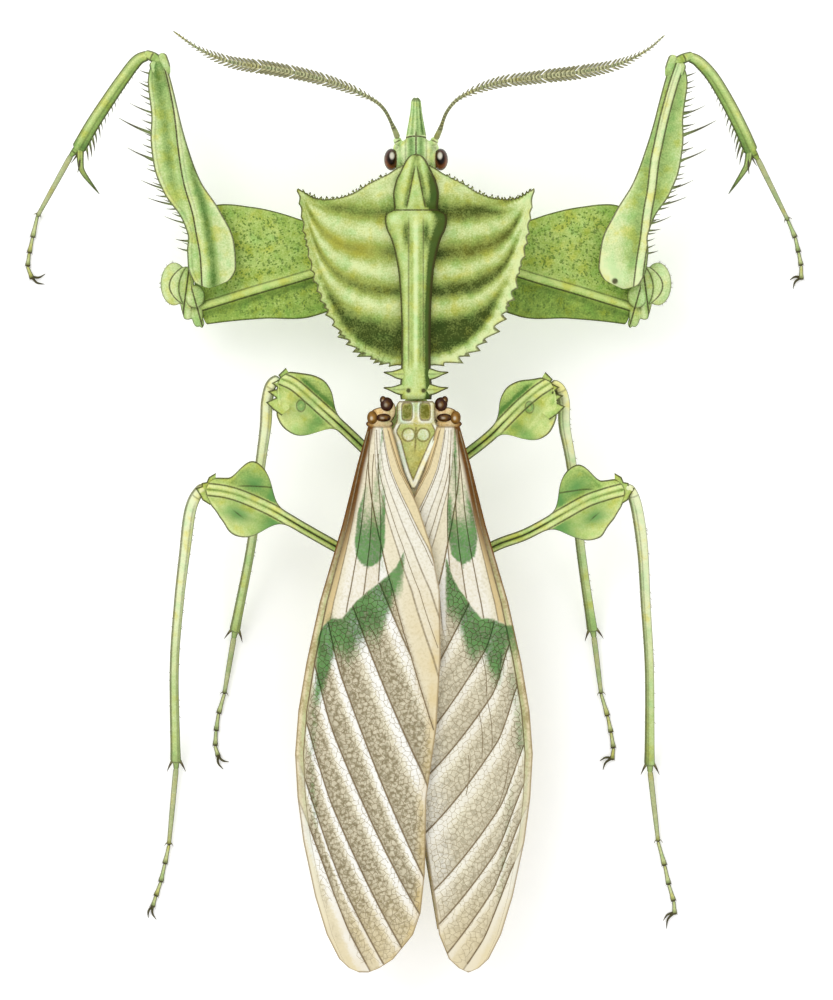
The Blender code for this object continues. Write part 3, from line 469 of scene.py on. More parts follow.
cuticleColours = {
    # name: pale, middle, dark, spot, ink; then ink strength, grain
    "shield": ((216, 228, 164), (160, 178, 92), (56, 72, 14), (188, 180, 66), (64, 56, 24), 0.85, 0.95),
    "crest": ((214, 230, 166), (176, 196, 112), (70, 92, 32), (52, 44, 22), (66, 60, 30), 0.95, 0.8),
    "limb": ((226, 236, 180), (172, 198, 120), (92, 126, 56), (58, 44, 20), (70, 66, 38), 0.9, 0.9),
    "coxa": ((200, 218, 132), (150, 178, 80), (84, 112, 44), (60, 88, 34), (64, 66, 34), 0.9, 1.1),
    "thigh": ((220, 230, 156), (182, 202, 112), (92, 132, 58), (92, 148, 78), (66, 62, 34), 0.95, 0.9),
    "tibia": ((230, 236, 190), (184, 204, 132), (112, 142, 76), (70, 60, 30), (92, 92, 60), 0.85, 0.6),
    "forearm": ((214, 226, 152), (158, 186, 102), (88, 124, 58), (70, 60, 30), (70, 70, 40), 0.9, 0.8),
    "foot": ((224, 230, 178), (180, 190, 128), (92, 98, 56), (60, 46, 26), (66, 58, 36), 0.9, 0.7),
    "head": ((228, 240, 182), (174, 204, 130), (76, 106, 46), (50, 44, 22), (70, 62, 34), 0.9, 0.8),
    "underside": ((204, 214, 142), (160, 178, 96), (92, 112, 50), (90, 80, 40), (84, 78, 44), 0.8, 1),
    "plate": ((240, 240, 222), (196, 194, 116), (104, 106, 32), (70, 60, 24), (104, 86, 46), 0.9, 0.8),
    "sclerite": ((240, 216, 168), (190, 146, 82), (110, 68, 24), (90, 50, 16), (66, 36, 12), 0.95, 0.9),
    "membrane": ((226, 216, 184), (200, 186, 146), (150, 134, 96), (120, 100, 60), (132, 112, 76), 0.8, 0.7),
    "feeler": ((222, 224, 186), (182, 186, 134), (106, 110, 66), (60, 50, 30), (84, 80, 54), 0.6, 0.6),
}


def cuticle(name):
    *colours, inkStrength, grain = cuticleColours[name]
    pale, middle, dark, spot, ink = (rgb(*colour) for colour in colours)
    roughness = 0.4 if name == "membrane" else 0.6
    material, place = newMaterial(name)
    fine, hue = cloud(place, 0.2, 4), cloud(place, 1.9, 3)
    shade = (cloud(place, 1.3) - 0.5) * (0.5 * grain) + (fine - 0.5) * (0.85 * grain) + mask("shade")
    colour = ramp(shade, [(0, pale), (0.45, middle), (1, dark)])
    colour = blend(fade(hue, 0.5, 0.7, 0, 0.75), colour, rgb(255, 240, 176), "MULTIPLY")
    colour = blend(fade(hue, 0.5, 0.3, 0, 0.6), colour, rgb(214, 244, 228), "MULTIPLY")
    long = put("ShaderNodeVectorMath", {0: place, 1: (1, 0.5, 1)}, operation="MULTIPLY")
    dots = fade(cells(long, 0.6, 0.9), 0.36, 0.2) * mask("speckle") * fade(fine, 0.3, 0.55)
    colour = blend(dots * 0.6, colour, spot)
    colour = blend(mask("spot") * 0.9, colour, spot)
    edge = fade(mask("rim"), 0.26, 0.09) * inkStrength
    for letter in "ABC":
        away = calc("ABSOLUTE", mask("line" + letter))
        edge = calc("MAXIMUM", edge, fade(away, 0.16, 0.04) * mask("ink" + letter))
    lines = edge * fade(fine, 0.1, 0.6, 0.6, 1)
    shine(blend(lines, colour, ink), roughness, fine - lines, 0.35, 0.06)
    return material


def gloss(name, first, second, roughness, size, coat, facets=0):
    material, place = newMaterial(name)
    colour = ramp(mask("shade") * 0.6 + cloud(place, size) * 0.4, [(0.25, first), (0.75, second)])
    colour = blend(fade(mask("rim"), 0.16, 0.05) * 0.8, colour, rgb(50, 26, 10))
    # painted highlight: the spot mask lays a pale glint over the colour
    colour = blend(mask("spot") * 0.85, colour, rgb(222, 218, 198))
    height = cells(place, facets) if facets else cloud(place, 0.12)
    shine(colour, roughness, height, 0.15, 0.03, coat, 0.1, **{"Coat Roughness": 0.12})
    return material


def spineFinish(name, root, tip):
    material, place = newMaterial(name)
    along = cloud(place, 0.4) * 0.2 + mask("tipward")
    shine(ramp(along, [(0.12, root), (0.55, tip)]), 0.45, cloud(place, 0.1), 0.2, 0.02)
    return material


finishes = {name: cuticle(name) for name in cuticleColours}
finishes["eye"] = gloss("eye", rgb(18, 7, 2), rgb(120, 66, 28), 0.3, 1.4, 0.1, facets=0.09)
finishes["knob"] = gloss("knob", rgb(52, 22, 6), rgb(168, 122, 46), 0.3, 0.45, 0.15)
finishes["spine"] = spineFinish("spine", rgb(128, 144, 88), rgb(82, 78, 58))
finishes["tooth"] = spineFinish("tooth", rgb(180, 196, 124), rgb(80, 70, 38))
finishes["claw"] = spineFinish("claw", rgb(134, 130, 88), rgb(76, 64, 46))
finishes["ramus"] = spineFinish("ramus", rgb(218, 216, 168), rgb(134, 132, 96))
finishes["grain"] = spineFinish("grain", rgb(146, 172, 86), rgb(118, 146, 64))
print("finishes made")


# Geometry nodes

def newTree(name, **sockets):
    tree = bpy.data.node_groups.new(name, "GeometryNodeTree")
    for label, kind in sockets.items():
        tree.interface.new_socket(label, in_out="INPUT", socket_type="NodeSocket" + kind)
    tree.interface.new_socket("Result", in_out="OUTPUT", socket_type="NodeSocketGeometry")
    current["tree"] = tree
    return put("NodeGroupInput")


def closeTree(geometry, given):
    real = put("GeometryNodeRealizeInstances", {"Geometry": geometry})
    smooth = put("GeometryNodeSetShadeSmooth", {"Geometry": real})
    painted = put("GeometryNodeSetMaterial", {"Geometry": smooth, "Material": given["Material"]})
    put("NodeGroupOutput", {"Result": painted})
    return current["tree"]


def named(name, kind="FLOAT"):
    return put("GeometryNodeInputNamedAttribute", {"Name": name}, data_type=kind)


def store(geometry, value, domain):
    inputs = {"Geometry": geometry, "Name": "tipward", "Value": value}
    return put("GeometryNodeStoreNamedAttribute", inputs, data_type="FLOAT", domain=domain)


def makeSproutTree():
    # a bent, tapered cone on every point, turned and sized by the point's own attributes
    given = newTree("sprouts", Points="Geometry", Sides="Int", Girth="Float", Bend="Float", Tip="Float",
                    Material="Material")
    cone = put("GeometryNodeMeshCone", {"Vertices": given["Sides"], "Side Segments": 6, "Depth": 1,
                                        "Radius Top": given["Girth"] * given["Tip"], "Radius Bottom": given["Girth"]},
               fill_type="TRIANGLE_FAN")
    up = put("ShaderNodeSeparateXYZ", {0: put("GeometryNodeInputPosition")})["Z"]
    offset = put("ShaderNodeCombineXYZ", {"X": up * up * given["Bend"]})
    bent = put("GeometryNodeSetPosition", {"Geometry": store(cone, up, "POINT"), "Offset": offset})
    turn = put("FunctionNodeEulerToRotation", {0: named("turn", "FLOAT_VECTOR")})
    spots = put("GeometryNodeMeshToPoints", {"Mesh": given["Points"]})
    copies = put("GeometryNodeInstanceOnPoints", {"Points": spots, "Instance": bent, "Rotation": turn,
                                                  "Scale": named("reach")})
    return closeTree(copies, given)


def makeScatterTree():
    # small flattened domes strewn over a surface where its speckle mask says so
    given = newTree("scatter", Surface="Geometry", Density="Float", Seed="Int", Size="Float", Material="Material")
    strewn = put("GeometryNodeDistributePointsOnFaces", {"Mesh": given["Surface"], "Seed": given["Seed"],
                                                         "Density": given["Density"] * named("speckle")},
                 distribute_method="RANDOM")
    dome = put("GeometryNodeMeshUVSphere", {"Segments": 6, "Rings": 4, "Radius": 1})
    size = put("FunctionNodeRandomValue", {"Seed": given["Seed"], 2: 0.5}, data_type="FLOAT")[1] * given["Size"]
    scale = put("ShaderNodeCombineXYZ", {0: size, 1: size * 1.5, 2: size * 0.5})
    copies = put("GeometryNodeInstanceOnPoints", {"Points": strewn, "Instance": dome, "Rotation": strewn["Rotation"],
                                                  "Scale": scale})
    return closeTree(store(copies, 0.5, "INSTANCE"), given)


def makeVeinTree():
    # a thin round tube along every line of edges, as thick as the line's own attribute
    given = newTree("veins", Lines="Geometry", Sides="Int", Material="Material")
    lines = put("GeometryNodeMeshToCurve", {"Mesh": given["Lines"]})
    ring = put("GeometryNodeCurvePrimitiveCircle", {"Resolution": given["Sides"], "Radius": 1})
    tubes = put("GeometryNodeCurveToMesh", {"Curve": lines, "Profile Curve": ring, "Scale": named("girth"),
                                            "Fill Caps": True})
    return closeTree(tubes, given)


trees = {"sprouts": makeSproutTree(), "scatter": makeScatterTree(), "veins": makeVeinTree()}


def grow(piece, tree, **values):
    # runs a tree on a mesh with the named inputs, and keeps the result as a plain mesh
    modifier = piece.modifiers.new(tree, "NODES")
    modifier.node_group = trees[tree]
    for item in trees[tree].interface.items_tree:
        if item.in_out == "INPUT" and item.name in values:
            modifier[item.identifier] = values[item.name]
    applyAll(piece)
    return piece


def sprouts(name, rows, finish, girth=0.1, bend=0.2, sides=6, tip=0.1):
    # rows of (root, aim, side to bend towards, length), in millimetres
    mesh = bpy.data.meshes.new(name)
    mesh.from_pydata([tuple(np.array(root) * mm) for root, _, _, _ in rows], [], [])
    turns, reaches = [], []
    for _, aim, way, length in rows:
        z = Vector(aim).normalized()
        x = Vector(way) - z * Vector(way).dot(z)
        x = x.normalized() if x.length > 1e-6 else z.orthogonal().normalized()
        turns += list(Matrix((x, z.cross(x), z)).transposed().to_euler())
        reaches.append(length * mm)
    mesh.attributes.new("turn", "FLOAT_VECTOR", "POINT").data.foreach_set("vector", turns)
    setMask(mesh, "reach", reaches)
    piece = grow(addObject(name, mesh), "sprouts", Sides=sides, Girth=girth, Bend=bend, Tip=tip,
                 Material=finishes[finish])
    return finishPiece(piece)


# Pronotum: a broad toothed shield, and the crest that runs over it from the tongue to the stalk

shield = {
    "corner": (14.1, 37.9), "rearY": 16.6, "frontZ": 18.2, "fall": 2, "rimLift": 1.1, "wall": 0.6,
    "front": [(0, 41), (1.8, 40.6), (3.6, 39.5), (5.6, 38.5), (7.6, 37.3), (9.6, 36.7), (11.4, 36.6), (12.8, 37.1),
        (14.1, 37.9)],
    "rear": [(0, 16.6), (2.6, 16.8), (5, 17.6), (7.2, 18.9), (9.2, 21), (10.9, 24), (12.2, 27.6), (13, 30.8),
        (13.6, 34.4), (14.1, 37.9)],
    "columns": 240, "rows": 52, "foldDepth": 0.6,
    # how far the folds have climbed towards the corner, by their reach from the middle line
    "sweep": [(0, 0), (0.2, 0), (0.42, 0.03), (0.55, 0.08), (0.67, 0.165), (0.75, 0.26), (0.82, 0.385), (0.9, 0.62),
        (0.96, 0.86), (1, 0.985)],
    # how dark each fold is where it crosses the middle line: painted shade in its trough, painted light on its ridge
    "folds": [(14, 0.4), (16.6, 0.42), (17.8, 0.7), (19.2, 1), (20.8, 0.95), (22.1, 0.6), (23.1, 0.2), (23.9, 0.06),
        (24.8, 0.45), (25.6, 0.82), (26.4, 0.55), (27.4, 0.16), (28.1, 0.05), (29.2, 0.42), (30.2, 0.72), (31.2, 0.42),
        (32.4, 0.06), (33.4, 0.2), (34.4, 0.62), (35.1, 0.8), (36.2, 0.42), (37.6, 0.16), (41, 0.34)],
    "toothWidth": (0.6, 1.9), "toothDepth": 1.4, "seed": 7,
    "toothSize": [(0, 0.6), (0.1, 1.15), (0.42, 1.2), (0.56, 0.75), (0.7, 0.5), (0.9, 0.42), (1, 0.3)],
    "toothLean": [(0, 0.9), (0.3, 0.85), (0.45, 0.35), (0.6, -0.35), (0.7, -0.55), (1, -0.5)],
    "biteWidth": (0.5, 1), "biteSize": [(0, 0.22), (1, 0.3)],
    "denticles": 16, "denticleX": (3.8, 13.4), "denticleSize": (0.2, 0.4),
}
crest = {
    "stations": 260, "around": 80, "depth": 0.9,
    "half": [(12.65, 1.85), (13.6, 1.95), (16, 1.8), (20, 1.75), (24, 1.85), (27.6, 2.1), (30, 2.5), (31.8, 3),
        (33.2, 3.6), (34.2, 3.75), (34.8, 3.6), (35.2, 2.9), (35.5, 2.62), (36.4, 2.7), (37.2, 2.75), (38.8, 2.42),
        (39.8, 1.95), (40.5, 1.62), (41.2, 1.25), (41.6, 0.95), (41.85, 0.62), (42, 0.2)],
    "top": [(12.65, 17.3), (13.3, 17.65), (18, 18), (26, 18.9), (33, 19.6), (34.6, 19.55), (35.3, 18.95), (35.9, 19.3),
        (38.7, 19.6), (41, 19.5), (42, 19)],
    "spikesY": (13.95, 15.8), "spike": ((1.2, -0.1), (2.4, -0.12), (3.9, 0.1)), "spikeWidth": [(0, 0.85), (0.35, 0.6),
        (0.7, 0.26), (0.93, 0.12), (1, 0.08)],
    "spikeHeight": [(0, 0.5), (0.5, 0.3), (1, 0.09)],
}


def shieldTone(x, y):
    reach = np.minimum(abs(x) / shield["corner"][0], 0.985)
    sweep = curve(shield["sweep"], reach)
    return reach, curve(shield["folds"], (y - shield["corner"][1] * sweep) / (1 - sweep))


def shieldHeight(x, y):
    reach, tone = shieldTone(x, y)
    back = np.minimum((shield["corner"][1] - y) / (shield["corner"][1] - shield["rearY"]), 1)
    z = shield["frontZ"] - shield["fall"] * back + shield["rimLift"] * reach ** 3
    return z + shield["foldDepth"] * (0.45 - tone) * np.sqrt(1 - reach)


def sawTeeth(places, end, widths, sizes, rng, start=0):
    # heights of irregular saw teeth at places along an edge
    high = np.zeros_like(places)
    here = start
    while here < end:
        width = rng.uniform(*widths)
        size = curve(sizes, here / end) * rng.uniform(0.45, 1.2)
        t = (places - here) / width
        inside = (t >= 0) & (t < 1)
        shape = np.where(t < 0.55, t / 0.55, (1 - t) / 0.45)
        high = np.where(inside, size * abs(shape) ** 1.5, high)
        here += width * rng.uniform(0.8, 1.15)
    return high


def nearestEdge(points, border):
    # distance in millimetres from each point to the nearest of the border's points
    tree = KDTree(len(border))
    for index, point in enumerate(border):
        tree.insert(point, index)
    tree.balance()
    return np.array([tree.find(point)[2] for point in points])


def outline(name, places):
    return lineAt([(x, y, 0) for x, y in shield[name]], places)


def makeShield():
    rng = random.Random(shield["seed"])
    share = np.linspace(0, 1, shield["columns"] + 1)
    front, rear = outline("front", share), outline("rear", share)
    length = np.linalg.norm(np.diff(rear, axis=0), axis=1).sum()
    ahead = unit(np.gradient(rear, axis=0))
    outward = np.stack([ahead[:, 1], -ahead[:, 0], 0 * share], axis=1)
    lean = curve(shield["toothLean"], share)[:, None]
    t = np.linspace(0, 1, shield["rows"])[:, None]
    v = 1 - (1 - t) ** 1.4
    span = np.linalg.norm(rear - front, axis=1)[None, :]
    near = shield["toothDepth"] / np.maximum(span, 2 * shield["toothDepth"])
    pull = np.clip((v - (1 - near)) / near, 0, 1)[..., None]
    halves = []
    for sign in (-1, 1):
        high = sawTeeth(share * length, length * 0.97, shield["toothWidth"], shield["toothSize"], rng, 2.2)
        bite = sawTeeth(share * length, length * 0.95, shield["biteWidth"], shield["biteSize"], rng, length * 0.25)
        grid = front[None] * (1 - v[..., None]) + rear[None] * v[..., None]
        grid = grid + (outward * 0.7 + ahead * lean)[None] * high[None, :, None] * pull
        grid[..., 1] += bite[None, :] * np.clip(1 - v / near, 0, 1)
        halves.append(grid * (sign, 1, 1))
    top = np.concatenate([halves[0][:, :0:-1], halves[1]], axis=1)
    x, y = top[..., 0], top[..., 1]
    border = np.vstack([top[0], top[-1], top[:, 0], top[:, -1]])
    rim = nearestEdge(top.reshape(-1, 3), border).reshape(x.shape)
    top[..., 2] = shieldHeight(x, y)
    bottom = top - (0.3 + (shield["wall"] - 0.3) * ease(0, 1.5, rim))[..., None] * (0, 0, 1)
    top[..., 2] += 0.16 * bell(rim, 0.55, 0.35) - 0.1 * bell(rim, 1.3, 0.4)
    reach, tone = shieldTone(x, y)
    # painted shade: the right half darker, and its folds with more contrast
    right = ease(-3, 3, x)
    shade = np.minimum(0.46 + (tone - 0.46) * (0.95 + 0.25 * right) + 0.19 * right, 0.96)
    isFront = ease(8, 0, 0 * x + np.linspace(0, shield["rows"], shield["rows"])[:, None])
    shade = shade * (1 - 0.55 * isFront * ease(9, 4, abs(x)))
    edge = np.where(x > 0, 0, 0.3)
    inset = np.where(x > 0, 1.7, 1.25)
    shade = shade + (edge - shade) * ease(1, 0.35, rim / inset) * (1 - isFront)
    accent = 0.5 * bell(tone, 0.6, 0.22) * bell(y, 31, 4) * ease(2.5, 6, abs(x)) * ease(0.98, 0.7, reach)
    accent = accent * (1 - 0.6 * right)
    shell = sheetShell(top, bottom, rim=rim, shade=shade, spot=accent)
    buildPiece("shield", [shell], ["shield"], ["pronotum"])

    rows = []
    frontLine = outline("front", np.linspace(0, 1, 200))
    for sign in (-1, 1):
        for place in np.linspace(*shield["denticleX"], shield["denticles"]):
            px = place + rng.uniform(-0.25, 0.25)
            py = np.interp(px, frontLine[:, 0], frontLine[:, 1]) + 0.1
            root = (sign * px, py, shieldHeight(px, py) - 0.1)
            aim = (sign * rng.uniform(-0.7, 0.9), 1, rng.uniform(-0.2, 0.5))
            rows.append((root, aim, (sign, 0, 0), rng.uniform(*shield["denticleSize"])))
    sprouts("shield_denticles", rows, "tooth", girth=0.55, bend=0.25, sides=8)


def crestHeights(y):
    base = shieldHeight(0 * y, np.minimum(y, 40)) - crest["depth"] + 0.8 * ease(40, 42.4, y)
    return curve(crest["top"], y), base


def makeCrest():
    y = np.linspace(crest["half"][0][0], crest["half"][-1][0], crest["stations"])[:, None]
    half = curve(crest["half"], y)
    top, base = crestHeights(y)
    middle = (top + base) / 2
    turn = fullTurn(crest["around"])[None, :]
    c, s = np.cos(turn), np.sin(turn)
    x = c * half
    out, side = abs(x), x / half
    roundOff = np.sqrt(np.clip(1 - abs(c) ** 3, 0, 1))
    onRidge = ease(15.5, 18, y) * ease(34.9, 33.4, y)
    onTongue = ease(35.3, 35.9, y) * ease(42.4, 41.6, y)
    vee = out - 0.05 - 0.2 * (40.9 - y)
    pit = np.hypot(out - 0.9, y - 13.7)
    detail = (0.2 * bell(x, 0, 0.3) - 0.14 * bell(out, 0.8, 0.3)) * onRidge
    detail = detail - 0.3 * bell(out, 1.15, 0.55) * bell(y, 32.9, 1.5) - 0.24 * bell(vee, 0.1, 0.22) * onTongue
    detail = detail + 0.22 * bell(abs(side), 0.8, 0.16) * bell(y, 34.2, 0.8) - 0.3 * bell(pit, 0, 0.3)
    detail = (detail + 0.2 * bell(out, 0, 0.3) * bell(y, 40.2, 1.4)) * (1 - abs(c) ** 4)
    z = middle + (top - middle) * np.where(s >= 0, roundOff, -roundOff) + np.where(s >= 0, detail, 0)
    rings = np.stack(np.broadcast_arrays(x, y, z), -1)
    # painted shadow: the crest's right side dark back from the tongue
    shade = 0.24 + 1.1 * ease(0.4, 0.8, side) * ease(42.5, 38, y) + 0.4 * bell(side, -0.92, 0.2)
    shade = shade + 0.75 * bell(out, 1.2, 0.45) * bell(y, 32.4, 1.7) + 0.2 * bell(y, 20, 5) * bell(side, 0.35, 0.3)
    shade = shade + (0.6 * bell(vee, 0.2, 0.35) + 0.25 * ease(0.2, 1.2, -vee)) * onTongue
    shade = shade + (0.28 * bell(out, 0.55, 0.3) * ease(34, 30, y) - 0.5 * bell(x, -0.02, 0.2)) * onRidge
    shade = shade - 0.3 * bell(out, 2.9, 0.5) * bell(y, 34.2, 0.7) - 0.2 * bell(y, 40.6, 1.2)
    ink = drawn((y - 35.3, 0.9), (out - 0.88, 0.55 * onRidge), (vee, 0.85 * onTongue * ease(40.9, 40, y)))
    # outlines drawn thicker on the right side as part of the painted shadow, and a little thicker on the left
    rim = np.minimum(half - out, 42.05 - y) * np.where(x > 0, 0.6, 0.8)
    shell = ringShell(rings, rim=rim, shade=shade, spot=ease(0.36, 0.2, pit) * (s > 0), **ink)
    buildPiece("crest", [shell], ["crest"], ["pronotum"])
    spikes = []
    for sign in (-1, 1):
        for place in crest["spikesY"]:
            points = [(sign * out, place + forward, 17) for out, forward in crest["spike"]]
            g = tube(points, 40, crest["spikeWidth"], crest["spikeHeight"], around=28, endRound=0.1)
            ink = drawn((g.w, 0.4 * ease(0.8, 0.5, g.u)))
            spikes.append(limbShell(g, shade=0.3 + 0.35 * ease(0.7, 1, g.u), **ink))
    buildPiece("stalk_spikes", spikes, ["crest"])


makeShield()
makeCrest()
print("pronotum made")


# Head, horn, mouthparts, eyes and feelers

head = {
    "mouth": (0, 42.3, 10.9), "crown": (0, 42.1, 17.85), "voxel": 0.085, "smoothing": 4,
    "width": [(0, 0.9), (0.25, 1.45), (0.55, 1.9), (0.8, 2.1), (0.93, 1.95), (1, 1.6)],
    "depth": [(0, 0.8), (0.3, 1.1), (0.6, 1.5), (0.85, 1.95), (1, 1.55)],
    "horn": [(0, 43, 16.8), (0, 44.4, 17.65), (0, 46.5, 18.85), (0, 48.6, 20.1)],
    "hornWidth": [(0, 1.35), (0.2, 1.2), (0.5, 0.9), (0.75, 0.68), (0.92, 0.6), (1, 0.46)],
    "hornRibs": 9, "hornHeight": [(0, 0.95), (0.2, 0.85), (0.55, 0.62), (0.88, 0.4), (1, 0.36)],
    "labrum": [(0, 42.9, 10.6), (0, 42.95, 9.7), (0, 42.7, 8.85)],
    "labrumWidth": [(0, 0.95), (0.3, 0.9), (0.7, 0.7), (1, 0.4)], "labrumHeight": [(0, 0.34), (1, 0.28)],
    "jaw": [(0.75, 41.8, 10.7), (0.7, 41.7, 9.8), (0.6, 41.8, 9.1)],
    "jawWidth": [(0, 0.42), (0.6, 0.36), (1, 0.26)], "jawHeight": [(0, 0.5), (1, 0.32)],
    "palpWidth": [(0, 0.24), (0.2, 0.24), (0.3, 0.3), (0.5, 0.24), (0.62, 0.3), (0.8, 0.23), (0.9, 0.27), (1, 0.2)],
    # swellings on each side and on the face: middle and half size
    "cheeks": (((2.2, 43.6, 16.8), (0.5, 0.5, 0.45)), ((1.75, 43, 15.6), (0.75, 0.7, 1.1)), ((0.2, 48.5, 20.02),
        (0.22, 0.24, 0.2))),
    "face": (((0, 43.35, 11.6), (1.05, 0.5, 1)), ((0, 43.7, 13.9), (1.3, 0.5, 1.7))),
    "ocelli": ((0, 44.1, 15.6), (-0.55, 44, 16.2), (0.55, 44, 16.2)),
    "palp": [(1.5, 41.2, 10.9), (2.1, 41.1, 10.3), (2.5, 41.9, 9.7), (2.4, 43.2, 9.2), (1.9, 44.2, 8.3)],
}
antennae = {
    "left": [(-2.2, 44, 17), (-2.7, 45.2, 17.9), (-3.8, 47.3, 19.3), (-5.4, 48.6, 20.3), (-8.6, 50, 21.4),
        (-12.6, 51.2, 22.2), (-17.2, 52.1, 22.6), (-22.1, 52.9, 22.6), (-25.8, 54.4, 22.4), (-29, 56.6, 22.1)],
    "right": [(2.4, 43.9, 17), (2.9, 45, 17.9), (3.8, 47.2, 19.3), (5.6, 48.9, 20.3), (9.6, 50.4, 21.4),
        (14.6, 51.1, 22.2), (19.6, 51.7, 22.6), (24, 52.6, 22.6), (27.4, 54.2, 22.4), (29.7, 56.1, 22.1)],
    "thick": [(0, 0.36), (0.04, 0.3), (0.08, 0.2), (0.3, 0.2), (0.8, 0.17), (1, 0.09)],
    "comb": [(0.13, 0.2), (0.2, 0.42), (0.27, 0.75), (0.4, 0.98), (0.6, 1.08), (0.76, 0.85), (0.88, 0.42), (0.98, 0.2)],
    "rami": 48, "combStart": 0.12, "combEnd": 0.97, "lean": 0.95,
}


def squircle(turn, power):
    c, s = np.cos(turn), np.sin(turn)
    return np.sign(c) * abs(c) ** power, np.sign(s) * abs(s) ** power


def flatRings(low, high, count, around, width, depth, power=0.8):
    # rings that lie level, stacked up a straight line
    u = np.linspace(0, 1, count)[:, None]
    c, s = squircle(fullTurn(around)[None, :], power)
    x, y, z = (low + (high - low) * u).T[..., None]
    return np.stack([x + c * curve(width, u), y + s * curve(depth, u), z + 0 * c], -1)


def makeHead():
    low, high = np.array(head["mouth"], float), np.array(head["crown"], float)
    shells = [ringShell(flatRings(low, high, 40, 48, head["width"], head["depth"]))]
    horn = tube(head["horn"], 70, head["hornWidth"], head["hornHeight"], around=56, endRound=0.25)
    swell = 1 + 0.05 * np.cos(head["hornRibs"] * fullTurn(56)[None, :]) * ease(0.15, 0.3, horn.u)
    shells.append(ringShell(swollen(horn, swell)))
    for side, sign in sides.items():
        centre, half = boxOf("eye_" + side)
        shells.append(ballShell(centre - (sign * 0.95, 0, 0.3), half * (0.78, 1.02, 0.94)))
        shells += [ballShell((sign * x, y, z), half) for (x, y, z), half in head["cheeks"]]
        jaw = tube(flip(head["jaw"], sign), 16, head["jawWidth"], head["jawHeight"])
        shells += [ringShell(jaw.rings), ringShell(tube(flip(head["palp"], sign), 60, head["palpWidth"]).rings)]
    labrum = tube(head["labrum"], 24, head["labrumWidth"], head["labrumHeight"], around=32)
    shells += [ringShell(labrum.rings), *(ballShell(*ball) for ball in head["face"])]
    piece = fuse("head_skin", shells, ["head"], head["voxel"], head["smoothing"])

    def paint(x, y, z):
        out = abs(x)
        onTop = ease(16.4, 17, z) * ease(45, 44.4, y)
        horny = ease(44, 44.5, y) * ease(16.6, 17.2, z)
        panel = (bell(out, 0.6, 0.42) * ease(44.3, 43.8, y) + 0.4 * bell(out, 1.95, 0.25)) * onTop
        ribs = np.cos(head["hornRibs"] * np.arctan2(z - 17.6 - 0.585 * (y - 44.4), x))
        # the horn's right half darker, a painted shade
        shade = np.where(horny > 0.5, 0.42 + 0.22 * ribs + 0.3 * ease(0, 0.6, x),
                         0.07 + 0.66 * panel + 0.15 * ease(14, 10, z))
        shade = shade + 0.4 * bell(out, 1, 0.4) * ease(16.4, 15.8, z) * ease(43.2, 44.2, y)
        jawTips = 0.8 * ease(9.4, 8.9, z) * ease(1.2, 0.9, out) * ease(42.5, 42.2, y)
        ink = drawn((x, 0.9 * onTop), (y - 44.15 + 0.12 * x ** 2, 0.95 * ease(16.9, 17.3, z)),
                    (out - 1.25, 0.35 * onTop))
        return {"shade": np.clip(shade, 0, 1), "spot": np.maximum(0.75 * ease(48.1, 48.5, y), jawTips), **ink}

    paintByPlace(piece, paint)
    finishPiece(piece, ["head", "labrum", "mandible_left", "mandible_right", "palp_left", "palp_right"])
    for side in sides:
        centre, half = boxOf("eye_" + side)
        ball = ballShell(centre, half, 56, 40)
        out = (ball.points - centre) * (sides[side], 1, 1)
        # a painted highlight: a pale glint on the eye's upper face, carried by the spot mask
        glint = np.hypot((out[:, 0] + 0.08) / 0.34, (out[:, 1] - 0.42) / 0.52)
        ball.masks["spot"] = ease(1.1, 0.5, glint) * (out[:, 2] > 0)
        crescent = bell(np.hypot(out[:, 0] / 0.95, out[:, 1] / 1.35), 0.74, 0.2)
        ball.masks["shade"] = crescent * (0.3 + 0.8 * ease(0.6, -0.8, out[:, 1]))
        buildPiece("eyeball_" + side, [ball], ["eye"], ["eye_" + side])
    dots = [ballShell(place, (0.26, 0.2, 0.26), 20, 12) for place in head["ocelli"]]
    buildPiece("ocelli", dots, ["knob"])


def makeAntenna(side):
    g = tube(antennae[side], 230, antennae["thick"], around=12, endRound=0.2, crowding=0)
    joint = ((g.mmAlong * 2.2) % 1 - 0.5) / 2.2
    shade = 0.35 + 0.35 * ease(0.25, 0.1, g.u)
    shaft = ringShell(g.rings, shade=shade, **drawn((joint, 0.9 * ease(1.2, 1.6, g.mmAlong))))
    buildPiece("feeler_" + side, [shaft], ["feeler"], ["antenna_" + side])
    rows = []
    for u in np.linspace(antennae["combStart"], antennae["combEnd"], antennae["rami"]):
        k = int(round(u * (len(g.line) - 1)))
        for hand in (-1, 1):
            aim = g.side[k] * hand + g.ahead[k] * antennae["lean"] - g.above[k] * 0.12
            rows.append((g.line[k] + g.side[k] * hand * 0.04 - g.above[k] * 0.08, aim, g.ahead[k],
                         float(curve(antennae["comb"], u)) * 1.2))
    sprouts("comb_" + side, rows, "ramus", girth=0.175, bend=0.18, sides=6, tip=0.5)


makeHead()
for hand in sides:
    makeAntenna(hand)
print("head made")


# Forelegs: leaf-like coxae, spined femora folded out, hooked tibiae

